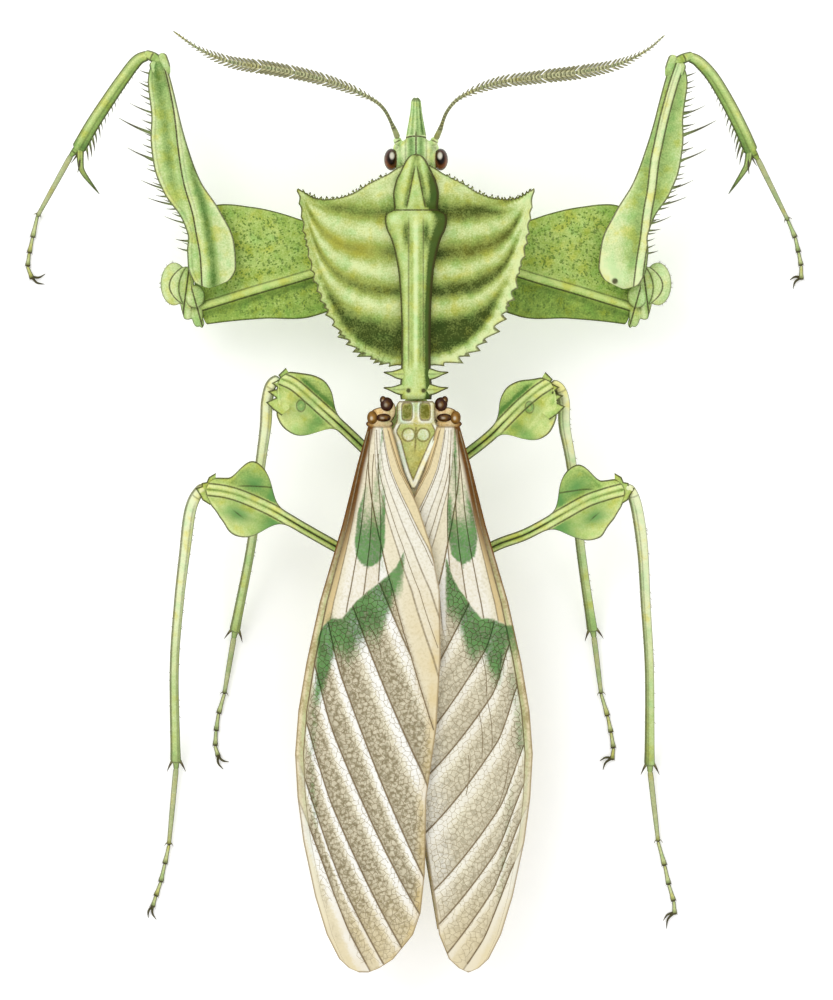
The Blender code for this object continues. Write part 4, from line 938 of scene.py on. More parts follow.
forelegs = {
    "left": {
        "femur": [(-24.8, 26.1, 11.3), (-25.1, 30.5, 11.6), (-26, 34.3, 11.9), (-27.4, 38.2, 12), (-28.4, 42.4, 12),
            (-29.2, 46.6, 11.9), (-30.2, 50.8, 11.6), (-31, 53.4, 11.4)],
        "tibia": [(-32.1, 54, 11.2), (-33.6, 53.4, 10.6), (-35.4, 51.2, 9.7), (-37.2, 48.7, 8.7), (-39.1, 45.9, 7.6),
            (-40.9, 42.9, 6.5)],
        "toes": [(-41.5, 42.3, 6.1), (-45.8, 34.9, 0.55), (-46.4, 32.3, 0.25), (-46.8, 30.4, 0.25), (-47, 28.8, 0.25),
            (-46.4, 27.3, 0.25)],
        "claws": [(-44.8, 28), (-44.9, 26.7)],
        "hook": [(-40.1, 40, 5.2), (-38.2, 37.5, 4.3)],
    },
    "right": {
        "femur": [(24.9, 26, 11.3), (25.5, 30.3, 11.6), (26.4, 34.2, 11.9), (27.6, 38, 12), (28.6, 42.2, 12),
            (29.5, 46.4, 11.9), (30.6, 50.6, 11.6), (31.4, 53.2, 11.4)],
        "tibia": [(32.7, 53.8, 11.2), (34, 53.3, 10.6), (35.7, 51.6, 9.7), (37.6, 48.6, 8.7), (39.4, 45.2, 7.6),
            (40.6, 42.6, 6.5)],
        "toes": [(41.1, 41.9, 6.1), (45, 34.4, 0.55), (45.9, 32.3, 0.25), (46.3, 30.5, 0.25), (46.6, 28.9, 0.25),
            (46.6, 27.2, 0.25)],
        "claws": [(45.2, 27.2), (45.6, 26.1)],
        "hook": [(39.5, 40.2, 5.2), (37.7, 37.5, 4.3)],
    },
    "coxa": [(3.6, 30.9, 13.2), (12.6, 27.8, 11.2), (19.5, 25.8, 9.4), (26.1, 23.8, 8)],
    "coxaRib": [(0, 0.95), (1, 0.7)], "coxaHigh": [(0, 1.4), (1, 1)],
    "coxaFront": [(0, 1.3), (0.15, 2.8), (0.32, 5.8), (0.45, 7.9), (0.6, 9.7), (0.78, 11.2), (0.9, 10.2), (0.97, 5),
        (1, 1.5)],
    "coxaRear": [(0, 1.3), (0.15, 3.2), (0.3, 5), (0.45, 5), (0.7, 3.6), (0.9, 2.6), (1, 2.2)],
    "grainSize": 0.12, "grainDensity": 4,
    "wedge": ((1.3, -1.5, 0.5), (1.55, 0.4, 0.7), (1.6, 2.5, 1), (1.55, 4.9, 1.4)),
    "wedgeWidth": [(0, 0.5), (0.3, 0.75), (0.65, 1), (1, 0.55)],
    "lobe": (3, 2.8, 1.1), "lobeHalf": (1.65, 2.6, 0.95), "lobeHairs": 26,
    # swellings at the hip: place, half size, points around and rows of them
    "hipLumps": (((0.2, -0.9, 0.4), (0.7, 1.5, 0.7), 32, 20), ((0.5, 1.3, 1.5), (1.2, 1.4, 0.8), 32, 20),
        ((-0.3, -1.9, 0.2), (0.3, 0.6, 0.35), 20, 12)),
    "femurWidth": [(0, 1), (0.5, 1.2), (1, 1)], "femurHigh": [(0, 1.25), (0.5, 1.1), (1, 0.95)],
    "femurKeel": [(0, 1.1), (0.03, 1.9), (0.1, 2.5), (0.17, 2.4), (0.25, 1.9), (0.34, 2.1), (0.45, 3), (0.55, 3.4),
        (0.66, 3.2), (0.78, 2.5), (0.92, 2), (1, 1)],
    "femurBack": [(0, 1.1), (0.03, 2.5), (0.08, 3.3), (0.18, 3.4), (0.3, 2.7), (0.45, 1.7), (0.58, 1.2), (0.76, 0.8),
        (1, 0.8)],
    "leftCrease": [(0, 0.9), (0.2, 0.9), (0.38, 0.45), (0.5, 0.3), (0.65, 0), (0.8, -0.3), (1, -0.5)],
    "rightBand": [(0, 1.7), (0.2, 1.6), (0.4, 0.85), (0.6, 0.25), (0.85, 0.3), (1, 0.4)],
    "longSpines": [(0.3, 2.6), (0.4, 3.1), (0.47, 2.8), (0.59, 3.4), (0.7, 4.4), (0.79, 2.9)],
    "denticles": 31, "denticleSize": (0.85, 1.5), "lean": 0.55,
    "eyespot": (23.9, 26.9),
    # lobes of the knee: place towards the keel, how far beyond the end, half width
    "kneeLobes": ((-0.62, 0.75, 0.62), (0.62, 0.15, 0.6)),
    "tibiaWidth": [(0, 0.5), (0.2, 0.6), (1, 0.65)], "tibiaHigh": [(0, 0.5), (1, 0.58)],
    "tibiaKeel": [(0, 0.5), (0.15, 0.8), (1, 1.05)], "tibiaBack": [(0, 0.7), (1, 0.7)],
    "tibiaSpines": 17, "tibiaSpineSize": [(0.15, 0.4), (0.5, 0.8), (0.8, 1.5), (0.93, 2.1)],
    "seed": 11,
}
toes = {
    "width": [(0, 0.2), (0.55, 0.24), (0.86, 0.32), (0.97, 0.33), (1, 0.28)], "claw": 0.13, "clawZ": 0.3, "lap": 0.105,
    "firstWidth": [(0, 0.26), (0.08, 0.34), (0.6, 0.31), (0.93, 0.26), (1, 0.3)],
}


def grainPiece(surface, name, size, density, seed):
    # strews tubercles over a copy of a finished surface
    piece = grow(addObject(name, surface.data.copy()), "scatter", Density=density / mm ** 2, Seed=seed,
                 Size=size * mm, Material=finishes["grain"])
    return finishPiece(piece)


def makeFoot(name, points, claws, nodes):
    # a long first joint, four flared short ones and a pair of claws, cut flat where they meet the floor
    shells, bristles = [], []
    pts = [np.array(p, float) for p in points]
    for n, (start, end) in enumerate(zip(pts, pts[1:])):
        lap = toes["lap"] / np.linalg.norm(end - start) if n else 0
        g = tube([start - (end - start) * lap, (start + end) / 2, end], 22 if n else 40,
                 toes["width" if n else "firstWidth"], around=18, endRound=0.2)
        g.rings[..., 2] = np.maximum(g.rings[..., 2], 0)
        fromEnd = g.length - g.mmAlong
        shade = 0.25 + 0.55 * ease(0.8, 0.15, fromEnd) + (0.1 if n else 0)
        ink = drawn((fromEnd - 0.14, 0.95), (abs(g.w) - 0.12, 0 if n else 0.3))
        shells.append(ringShell(g.rings, rim=1.7 * g.rim + 0.03, shade=shade, **ink))
        line, ahead, aside = g.line[-3], g.ahead[-3], g.side[-3]
        bristles += [(line + aside * hand * 0.3, aside * hand * 0.7 + ahead, ahead, 0.25 if n else 0.55)
                     for hand in (-1, 1)]
    root = pts[-1] + (pts[-2] - pts[-1]) * 0.2
    root[2] = toes["clawZ"]
    for x, y in claws:
        tip = np.array([x, y, toes["clawZ"] - 0.05])
        bend = (root + tip) / 2 + np.cross(tip - root, (0, 0, 1)) * 0.16 + (0, 0, 0.12)
        g = tube([root, bend, tip], 20, [(0, toes["claw"] * 1.3), (0.5, toes["claw"]), (1, 0.03)], around=10,
                 endRound=0.05)
        shells.append(ringShell(g.rings, shade=0.95, rim=0.08))
    buildPiece(name, shells, ["foot"], nodes)
    sprouts(name + "_bristles", bristles, "claw", girth=0.12, bend=0.1, sides=5)


def makeForeCoxa(side, sign):
    left, right = (forelegs["coxaRear"], forelegs["coxaFront"])[::-sign]
    g = blade(flip(forelegs["coxa"], sign), 170, left, right, forelegs["coxaRib"], forelegs["coxaHigh"], around=120)
    back = g.w * sign                       # positive behind the rib
    onTop = g.top > 0
    rib = 0.42 * slab(back, 0.42) * ease(0.02, 0.1, g.u) * ease(1, 0.96, g.u)
    sag = -0.18 * bell(back, 1.3, 0.6) - 0.12 * bell(back, -1.2, 0.5)
    swell = 0.3 * ease(0.4, 2.5, g.rim) * ease(0.8, 2.5, abs(back)) + 0.12 * bell(g.rim, 0.3, 0.25)
    g.h = g.h * 0.75 + g.roundOff * (rib + sag + swell)
    rings = bladeRings(g)
    speckle = ease(0.85, 1.4, abs(back)) * ease(0.35, 0.9, g.rim) * onTop
    # the rib paler, and a painted shadow just behind it: darker shade and a heavier line along its rear side
    shade = 0.42 - 0.42 * bell(back, 0, 0.55) + 0.4 * bell(back, 0.95, 0.5) + 0.22 * ease(0.35, 0.1, g.u)
    shade = shade + (0.25 if sign > 0 else 0.06) * ease(0.5, 2.5, back) - 0.15 * bell(g.u, 0.62, 0.2) * (back < 0)
    ink = drawn((back - 0.5, 0.95), (back + 0.5, 0.6), (back - 0.05, 0))
    shell = ringShell(rings, rim=g.rim, shade=shade, speckle=speckle, **ink)
    plate = buildPiece(f"fore_coxa_plate_{side}", [shell], ["coxa"], [f"fore_coxa_{side}"])
    grainPiece(plate, f"coxa_grain_{side}", forelegs["grainSize"], forelegs["grainDensity"], 3 + sign)


def makeTrochanter(side, sign):
    scale = np.array([sign, 1, 1])
    hip = scale * forelegs["coxa"][-1]
    wedge = tube([hip + scale * step for step in forelegs["wedge"]], 60, forelegs["wedgeWidth"],
                 [(0, 0.6), (0.5, 0.8), (1, 0.5)], around=32)
    centre, half = hip + scale * forelegs["lobe"], np.array(forelegs["lobeHalf"])
    shells = [ringShell(wedge.rings), ballShell(centre, half, 48, 32)]
    shells += [ballShell(hip + scale * place, *rest) for place, *rest in forelegs["hipLumps"]]
    piece = fuse(f"trochanter_skin_{side}", shells, ["limb"], 0.11, 3)

    upward = np.zeros(len(piece.data.vertices) * 3, np.float32)
    piece.data.vertex_normals.foreach_get("vector", upward)
    level = abs(upward.reshape(-1, 3)[:, 2])

    def paint(x, y, z):
        out = (x - hip[0]) * sign
        along = (y - centre[1]) / half[1]
        bulge = np.clip(1 - along ** 2, 0, 1)
        start = 1.45 - 0.35 * along
        ink = drawn((out - start, 1), (out - start - 2.1 * bulge, 0.9 * ease(0.02, 0.15, bulge)),
                    (out - start - 0.95 * bulge, 0.8 * ease(0.02, 0.2, bulge)))
        wedge = out - 0.25 - 0.28 * (y - hip[1])
        ink["lineA"] = np.where(out < 1, np.minimum(abs(ink["lineA"]), abs(wedge)), ink["lineA"])
        shade = 0.2 + 0.28 * bell(out, start, 0.35) + 0.22 * ease(1.2, 0.4, out)
        shade = shade + 0.2 * bell(out - start, 0.95 * bulge, 0.3)
        return {"rim": 0.3 * level + 0.02, "shade": shade, **ink}

    paintByPlace(piece, paint)
    finishPiece(piece, [f"fore_trochanter_{side}"])
    rng = random.Random(forelegs["seed"])
    hairs = []
    for _ in range(forelegs["lobeHairs"]):
        a = rng.uniform(-1.5, 1.5)
        way = np.array([sign * math.cos(a), math.sin(a), 0.15])
        hairs.append((centre + way * half * 0.97, way, (0, 0, 1), rng.uniform(0.2, 0.42)))
    sprouts(f"trochanter_bristles_{side}", hairs, "claw", girth=0.07, bend=0.1, sides=4)


def spineRoot(g, sign, reach, u, lift):
    # where a spine leaves the keel, and the limb's directions there
    k = int(round(np.interp(u, g.u[:, 0], np.arange(len(g.u)))))
    outward = g.side[k] * sign
    return g.line[k] + outward * (float(curve(reach, u)) - 0.12) + g.above[k] * lift, outward, g.ahead[k], g.above[k]


def makeForeFemur(side, sign):
    left, right = (forelegs["femurKeel"], forelegs["femurBack"])[::-sign]
    g = blade(forelegs[side]["femur"], 210, left, right, forelegs["femurWidth"], forelegs["femurHigh"], around=104,
              endRound=0.9)
    keel = g.w * sign                       # positive towards the spined edge
    onTop = np.where(g.top > 0, 1, 0.35)
    if side == "left":
        crease = keel - curve(forelegs["leftCrease"], g.u)
        relief = 0.16 * bell(crease, 0.8, 0.5) + 0.16 * bell(crease, -0.9, 0.6) - 0.22 * bell(crease, 0, 0.3)
        ridge = 0.22 + (0.2 + 0.35 * ease(0.3, 0.6, g.u)) * bell(crease, 1.25, 0.75)
        shade = np.where(crease > 0, ridge, 0.18 + 0.75 * bell(crease, -1.45, 0.6)) + 0.2 * bell(crease, 0.22, 0.18)
        shade = shade + 0.3 * ease(0.75, 1, g.u) * bell(crease, 0.5, 0.9) - 0.1 * ease(0.7, 0.25, g.rim)
        ink = drawn((crease, 1), (crease + 0.45, 0.28 * ease(0.2, 0.4, g.u)), (g.rim - 0.55, 0.25 * (crease > 0)))
    else:
        crease = keel - curve(forelegs["rightBand"], g.u)
        relief = 0.24 * slab(crease, 0.42) - 0.16 * bell(crease, -1, 0.4) - 0.12 * bell(crease, 0.9, 0.3)
        shade = 0.62 - np.where(crease > 0, 0.25 * ease(0.6, 2.6, crease), 0.5 * ease(0.9, 3.2, -crease))
        shade = shade - 0.6 * slab(crease, 0.5) - 0.18 * ease(0.5, 0.1, g.rim)
        shade = shade - 0.35 * ease(0.16, 0.04, g.u) * (crease < 0)
        ink = drawn((crease + 0.5, 0.9), (crease - 0.5, 0.9), (crease + 0.16, 0.35 * ease(0.6, 0.8, g.u)))
    g.h = g.h + g.roundOff * relief * onTop
    rings = bladeRings(g)
    eyespot = forelegs["eyespot"]
    spot = ease(0.42, 0.28, np.hypot(rings[..., 0] - eyespot[0], rings[..., 1] - eyespot[1])) * (g.top > 0)
    shells = [ringShell(rings, rim=g.rim, shade=shade, spot=spot, **ink)]
    ahead = g.ahead[-1]
    for across, beyond, wide in forelegs["kneeLobes"]:
        root = g.line[-1] + g.side[-1] * sign * across
        lobe = tube([root - ahead * 2.2, root - ahead * 0.8, root + ahead * beyond], 34,
                    [(0, wide * 0.4), (0.5, wide), (1, wide * 0.9)], [(0, 0.3), (0.5, 0.8), (1, 0.85)], around=28,
                    endRound=0.5)
        shells.append(limbShell(lobe, rim=lobe.rim + 0.3 * ease(0.45, 0.2, lobe.u),
                                shade=0.32 + 0.3 * ease(0.5, 0.1, lobe.u)))
    buildPiece(f"fore_femur_blade_{side}", shells, ["limb"], [f"fore_femur_{side}"])

    rng = random.Random(forelegs["seed"] + sign)
    reach = forelegs["femurKeel"]

    rows = []
    for n, (u, length) in enumerate(forelegs["longSpines"]):
        base, outward, ahead, above = spineRoot(g, sign, reach, u, 0)
        rows.append((base, outward + ahead * forelegs["lean"] + above * (0.14 if n % 2 else -0.14), ahead, length))
    sprouts(f"femur_spines_{side}", rows, "spine", girth=0.048, bend=0.12, sides=10)
    rows = []
    for n, u in enumerate(np.linspace(0.17, 0.95, forelegs["denticles"])):
        place, lift = u + rng.uniform(-0.008, 0.008), rng.uniform(-0.12, 0.12)
        base, outward, ahead, above = spineRoot(g, sign, reach, place, lift)
        size = rng.uniform(*forelegs["denticleSize"]) * (0.8 if n % 2 else 1.1)
        rows.append((base, outward + ahead * rng.uniform(0.25, 0.7) + above * rng.uniform(-0.2, 0.2), ahead, size))
    sprouts(f"femur_denticles_{side}", rows, "spine", girth=0.1, bend=0.12, sides=8)


def makeForeTibia(side, sign):
    own = forelegs[side]
    left, right = (forelegs["tibiaKeel"], forelegs["tibiaBack"])[::-sign]
    g = blade(own["tibia"], 130, left, right, forelegs["tibiaWidth"], forelegs["tibiaHigh"], around=60,
              endRound=0.4)
    keel = g.w * sign
    g.h = g.h + g.roundOff * 0.12 * bell(keel, -0.15, 0.3)
    shade = 0.32 + 0.35 * ease(0, 0.8, keel) - 0.2 * bell(keel, -0.2, 0.3) + 0.3 * ease(0.75, 1, g.u)
    ink = drawn((keel - 0.35, 0.4 * ease(0.1, 0.3, g.u)), (keel + 0.42, 0.3))
    shells = [ringShell(bladeRings(g), rim=g.rim, shade=shade, **ink)]
    end, ahead = g.line[-1], g.ahead[-1]
    bend, tip = (np.array(p) for p in own["hook"])
    hook = tube([end - ahead * 0.9, end + (bend - end) * 0.55, bend, tip], 60,
                [(0, 0.5), (0.3, 0.42), (0.7, 0.24), (0.92, 0.1), (1, 0.03)], around=20, endRound=0.05)
    shells.append(limbShell(hook, shade=0.35 + 0.6 * ease(0.5, 0.95, hook.u),
                            **drawn((hook.w, 0.4 * ease(0.9, 0.6, hook.u)))))
    start, hinge, toe = (np.array(point) for point in (own["tibia"][0], own["femur"][-1], own["toes"][0]))
    back = hinge - start
    knee = tube([hinge + back * 0.35, (hinge + start) / 2 + (0, 0.12, 0), start - back * 0.5], 36,
                [(0, 0.55), (0.45, 0.62), (1, 0.5)], around=24)
    shells.append(limbShell(knee, shade=0.3 + 0.3 * bell(knee.u, 0.4, 0.12),
                            **drawn((knee.mmAlong - 0.55 * knee.length, 0.8))))
    ankle = tube([end - ahead * 0.4, (end + toe) / 2, toe + ahead * 0.3], 24, [(0, 0.45), (0.5, 0.4), (1, 0.3)],
                 around=18)
    shells.append(limbShell(ankle, rim=ankle.rim + 0.03, shade=0.6, **drawn((ankle.mmAlong - ankle.length / 2, 0.7))))
    buildPiece(f"fore_tibia_shaft_{side}", shells, ["forearm"], [f"fore_tibia_{side}"])

    rng = random.Random(forelegs["seed"] + 5 * sign)
    rows = []
    for u in np.linspace(0.14, 0.95, forelegs["tibiaSpines"]):
        base, outward, ahead, above = spineRoot(g, sign, forelegs["tibiaKeel"], u, rng.uniform(-0.1, 0.1))
        length = float(curve(forelegs["tibiaSpineSize"], u)) * rng.uniform(0.8, 1.1)
        rows.append((base, outward + ahead * (0.45 + 0.6 * u) + above * rng.uniform(-0.15, 0.1), ahead, length))
    ahead = g.ahead[-1]
    for away, length in ((0.15, 3), (-0.35, 2.2)):
        base = end + g.side[-1] * sign * 0.35 - ahead * 0.3
        rows.append((base, ahead + g.side[-1] * sign * (0.45 + away), ahead, length))
    sprouts(f"tibia_spines_{side}", rows, "spine", girth=0.1, bend=0.14, sides=8)
    makeFoot(f"fore_foot_{side}", own["toes"], own["claws"], [f"fore_tarsus_{side}"])


for hand, sign in sides.items():
    makeForeCoxa(hand, sign)
    makeTrochanter(hand, sign)
    makeForeFemur(hand, sign)
    makeForeTibia(hand, sign)
print("forelegs made")


# Walking legs: slender shafts with ear-like lobes before the knee

walkingLegs = {
    "mid_left": {
        "femur": [(-3.7, 4.4, 10.1), (-6.3, 6.9, 11.6), (-8.5, 9, 12.9), (-10.6, 10.9, 14.1), (-12.7, 12.8, 15.2),
            (-14.6, 14.4, 16), (-16.3, 15.2, 16.4)],
        "tibia": [(-17.95, 13.9, 15.85), (-17.8, 12.4, 15.2), (-18, 9.4, 13.6), (-18.7, 4.4, 11.1), (-19.7, -4.2, 6.8),
            (-21.9, -15.4, 1.3)],
        "toes": [(-22, -15.9, 1), (-23.2, -22.9, 0.45), (-23.9, -25.3, 0.25), (-24.2, -27.4, 0.25),
            (-24.3, -29.2, 0.25), (-23.9, -30.5, 0.25)],
        "claws": [(-22.6, -31.1), (-23.3, -32)], "eyespot": (-13.8, 11.9),
    },
    "mid_right": {
        "femur": [(3.7, 4.4, 10.1), (6.4, 6.3, 11.6), (8.8, 8.2, 12.9), (10.6, 10, 14.1), (12.5, 11.9, 15.2),
            (14.5, 13.6, 16), (16.2, 14.7, 16.4)],
        "tibia": [(17.9, 13.6, 15.75), (17.8, 12.4, 15.2), (17.9, 9.4, 13.6), (18.8, 4.4, 11.1), (20, -6, 6),
            (21.4, -15.3, 1.3)],
        "toes": [(21.5, -15.8, 1), (22.4, -22.9, 0.45), (23.2, -25.6, 0.25), (23.6, -27.6, 0.25), (23.9, -29.5, 0.25),
            (23.7, -30.9, 0.25)],
        "claws": [(22.2, -31), (22.6, -32.1)], "eyespot": (13.6, 11.7),
    },
    "hind_left": {
        "femur": [(-4.7, -7.8, 9.9), (-9.8, -4.9, 11.4), (-13.5, -2.8, 12.4), (-17.1, -0.7, 13.5), (-20.6, 0.9, 14.5),
            (-22.9, 1.6, 15), (-25.2, 1.9, 15.3)],
        "tibia": [(-26.4, 1.6, 15), (-27, -0.6, 14.1), (-27.7, -5.5, 12), (-28.5, -12, 9.3), (-29.1, -20, 5.9),
            (-29, -31.2, 1.3)],
        "toes": [(-29, -31.7, 1), (-29.9, -41.2, 0.45), (-30.4, -43.5, 0.25), (-30.9, -45.7, 0.25),
            (-31.5, -47.4, 0.25), (-31.9, -48.7, 0.25)],
        "claws": [(-31.4, -50.2), (-32.4, -50)],
    },
    "hind_right": {
        "femur": [(4.7, -7.8, 9.9), (9.3, -5, 11.4), (13.2, -3.5, 12.4), (16.9, -1.5, 13.5), (20.3, 0.4, 14.5),
            (22.8, 1.3, 15), (25, 1.9, 15.3)],
        "tibia": [(26.3, 1.7, 15), (26.6, -0.6, 14.1), (27.3, -5.5, 12), (27.7, -12, 9.3), (28.2, -20, 5.9),
            (28.3, -31.6, 1.3)],
        "toes": [(28.3, -32.1, 1), (29.3, -40.8, 0.45), (30.1, -43.7, 0.25), (30.6, -46, 0.25), (31.2, -48, 0.25),
            (31.3, -49.6, 0.25)],
        "claws": [(29.9, -50.3), (30.3, -51.3)],
    },
    "width": [(0, 0.6), (0.15, 0.7), (0.5, 0.65), (1, 0.85)],
    "midRear": [(0, 0.6), (0.15, 0.7), (0.46, 0.7), (0.53, 1.9), (0.58, 3.5), (0.65, 4.55), (0.74, 4.8), (0.84, 4.3),
        (0.93, 3.3), (1, 2.3)],
    "midFront": [(0, 0.6), (0.15, 0.7), (0.5, 0.7), (0.57, 1.2), (0.66, 2.3), (0.75, 2.75), (0.83, 2.4), (0.91, 1.5),
        (1, 0.9)],
    "hindRear": [(0, 0.6), (0.15, 0.7), (0.52, 0.7), (0.58, 1.2), (0.64, 3.2), (0.7, 4.4), (0.77, 4.7), (0.88, 3.5),
        (1, 1.2)],
    "hindFront": [(0, 0.6), (0.15, 0.7), (0.6, 0.7), (0.65, 1.4), (0.71, 3.2), (0.77, 4.3), (0.82, 4.6), (0.85, 4),
        (0.87, 2), (0.9, 1.7), (1, 1.4)],
    "shin": [(0, 0.55), (0.06, 0.7), (0.14, 0.72), (0.3, 0.64), (0.7, 0.56), (0.93, 0.6), (1, 0.66)],
    # toothed cuff over the knee: places outward and forward of the shaft's end, and how far it reaches back
    "midCuff": [(-0.7, 1.25), (0.2, 0.35), (-0.1, -0.05), (1, -0.6), (0.2, -1.25), (1.5, -1.6), (0.5, -2.35),
        (1.7, -2.9), (0.8, -3.8), (-0.2, -4.5)],
    "hindCuff": [(-1.2, 1.95), (-0.35, 1.45), (-0.1, 0.85), (0.5, 0.75), (0.5, 0.35), (1.25, 0.1), (0.7, -0.75),
        (0.4, -1.35), (-0.5, -1.9)],
    "cuffReach": 1.15, "cuffWall": 0.3, "hairs": 30, "hairRows": (20, 145),
}


def makeCuff(end, sign, edge):
    # a thin toothed flap over the knee
    edge = np.array([(sign * out, forward, 0) for out, forward in edge], float)
    far = np.concatenate([[0], np.cumsum(np.linalg.norm(np.diff(edge, axis=0), axis=1))])
    at = np.sort(np.concatenate([np.linspace(0, far[-1], 70), far[1:-1]]))
    margin = np.stack([np.interp(at, far, edge[:, 0]), np.interp(at, far, edge[:, 1]), 0 * at], -1)
    back = walkingLegs["cuffReach"]
    base = np.stack([0 * at - sign * back, np.linspace(edge[0, 1] * 0.4, edge[-1, 1] * 0.8, len(at)), 0 * at], -1)
    v = np.linspace(0, 1, 24)[:, None, None]
    top = base + (margin - base) * v + end
    rim = nearestEdge(top.reshape(-1, 3), margin + end).reshape(top.shape[:2])
    top[..., 2] += -0.25 + 0.6 * v[..., 0] + 0.12 * bell(rim, 0.5, 0.3)
    shade = 0.24 + 0.25 * ease(0.9, 0.3, rim)
    return sheetShell(top, top - (0, 0, walkingLegs["cuffWall"]), rim=rim, shade=shade)


def makeWalkingLeg(leg):
    own = walkingLegs[leg]
    pair, side = leg.split("_")
    sign = sides[side]
    left, right = (walkingLegs[pair + "Rear"], walkingLegs[pair + "Front"])[::-sign]
    g = blade(own["femur"], 200, left, right, walkingLegs["width"], walkingLegs["width"], around=104,
              endRound=1, soft=9)
    back = g.w * sign                       # positive on the rear lobe
    off = abs(back)
    onLobe = ease(0.42, 0.56, g.u)
    beside = ease(0.7, 1.6, off)
    dish = (0.34 * bell(g.rim, 0.45, 0.5) - 0.1 * bell(off, 1, 0.3)) * onLobe
    g.h = g.h + g.roundOff * (0.1 * bell(off, 0.4, 0.2) - 0.16 * bell(back, 0, 0.12) + dish)
    wave = 0.25 * np.sin(3 * g.w + 9 * g.u) * ease(0.8, 2.2, g.rim) * beside * onLobe
    rings = bladeRings(g, wave * g.roundOff)
    shade = 0.5 - 0.25 * bell(off, 0.42, 0.2) + 0.3 * bell(back, 0, 0.15)
    lobeShade = np.where(back > 0, 0.22, 0.55) + 0.35 * bell(off, 1, 0.35) + 0.3 * ease(0.75, 0.56, g.u)
    shade = shade + (lobeShade - shade) * beside * onLobe
    shade = shade - (0.15 * ease(0.6, 0.2, g.rim) + 0.22 * (1 - beside)) * onLobe
    ink = [(back, 1 - 0.65 * ease(0.5, 0.75, g.u)), (off - 0.72, 0.85 * onLobe)]
    if pair == "mid":
        x, y = (rings[..., k] - own["eyespot"][k] for k in range(2))
        ring = np.hypot(x / 0.75, y)
        spot = 0.8 * ease(0.75, 0.55, ring) - 0.5 * ease(0.35, 0.15, ring)
        spot = np.maximum(spot, 0.35 * ease(2.4, 0.5, np.hypot(x, y)))
        spot = np.maximum(spot, 0.6 * bell(g.u, 0.6, 0.05) * (back > 0.9))
        shade = shade + 0.6 * bell(back, -1.05, 0.3) * onLobe * ease(0.93, 0.84, g.u)
        ink.append((ring - 0.7, 0.6 * (g.top > 0)))
    else:
        spot = bell(np.hypot((g.u - 0.8) / 0.09, back - 2.1), 0, 1) + bell(g.u, 0.6, 0.07) * (back > 0.9)
        spot = spot + bell(np.hypot((g.u - 0.78) / 0.07, (back + 2) / 1.2), 0, 1)
        spot = np.clip(spot + bell(g.u, 0.67, 0.035) * (back < -0.9), 0, 1)
        fold = np.where(back < 0, back + 1.9 - 9 * (g.u - 0.75), (back - 2.1 + 6 * (g.u - 0.8)) * 1.2)
        reach = np.where(back < 0, ease(0.66, 0.7, g.u) * ease(0.86, 0.82, g.u), bell(g.u, 0.8, 0.03))
        ink.append((fold, 0.75 * reach * (off > 0.9)))
    shells = [ringShell(rings, rim=g.rim, shade=shade, spot=spot * (g.top > 0), **drawn(*ink)),
              makeCuff(own["femur"][-1], sign, walkingLegs[pair + "Cuff"])]
    buildPiece(f"{leg}_thigh", shells, ["thigh"], [f"{pair}_femur_{side}"])

    hinge = np.array(own["femur"][-1]) - (0, 0, 0.25)
    first = np.array(own["tibia"][0])
    g = tube([hinge, (hinge + first) / 2 + (first - hinge) * (0.1, 0.1, 0.2), *own["tibia"][1:]], 170,
             walkingLegs["shin"], around=28, endRound=0.5)
    ridge = 1 + 0.1 * np.cos(3 * np.arctan2(g.h, g.w))
    shade = 0.02 + 0.22 * ease(0.1, 0.6, g.w * sign) + 0.4 * ease(0.25, 0.9, g.u) + 0.25 * ease(0.9, 1, g.u)
    ink = drawn((g.w * sign - 0.25, 0.45 * ease(0.03, 0.1, g.u)), (g.length - g.mmAlong - 0.3, 0.7),
                (g.mmAlong - 1.6, 0.5))
    shells = [ringShell(swollen(g, ridge), rim=g.rim, shade=shade, **ink)]
    toe = np.array(own["toes"][0])
    ankle = tube([g.line[-1] - g.ahead[-1] * 0.3, (g.line[-1] + toe) / 2, toe + g.ahead[-1] * 0.3], 20,
                 [(0, 0.5), (0.5, 0.36), (1, 0.32)], around=18)
    shells.append(ringShell(ankle.rings, rim=ankle.rim + 0.03, shade=0.7))
    buildPiece(f"{leg}_shin", shells, ["tibia"], [f"{pair}_tibia_{side}"])
    line, ahead, aside = g.line[-4], g.ahead[-4], g.side[-4]
    rows = [(line + aside * hand * 0.4, ahead * 1.5 + aside * hand * 0.9, ahead, 1.7) for hand in (-1, 1)]
    rng = random.Random(31 + len(leg))
    for _ in range(walkingLegs["hairs"]):
        k = rng.randrange(*walkingLegs["hairRows"])
        hand = rng.choice((-1, 1))
        width = float(curve(walkingLegs["shin"], g.u[k, 0]))
        rows.append((g.line[k] + g.side[k] * hand * width * 0.95, g.side[k] * hand + g.ahead[k], g.ahead[k], 0.3))
    sprouts(f"{leg}_spurs", rows, "claw", girth=0.13, bend=0.1, sides=7)
    makeFoot(f"{leg}_foot", own["toes"], own["claws"], [f"{pair}_tarsus_{side}"])


for leg in ("mid_left", "mid_right", "hind_left", "hind_right"):
    makeWalkingLeg(leg)
print("walking legs made")


# Thorax and abdomen: soft skins under the shield and the wings

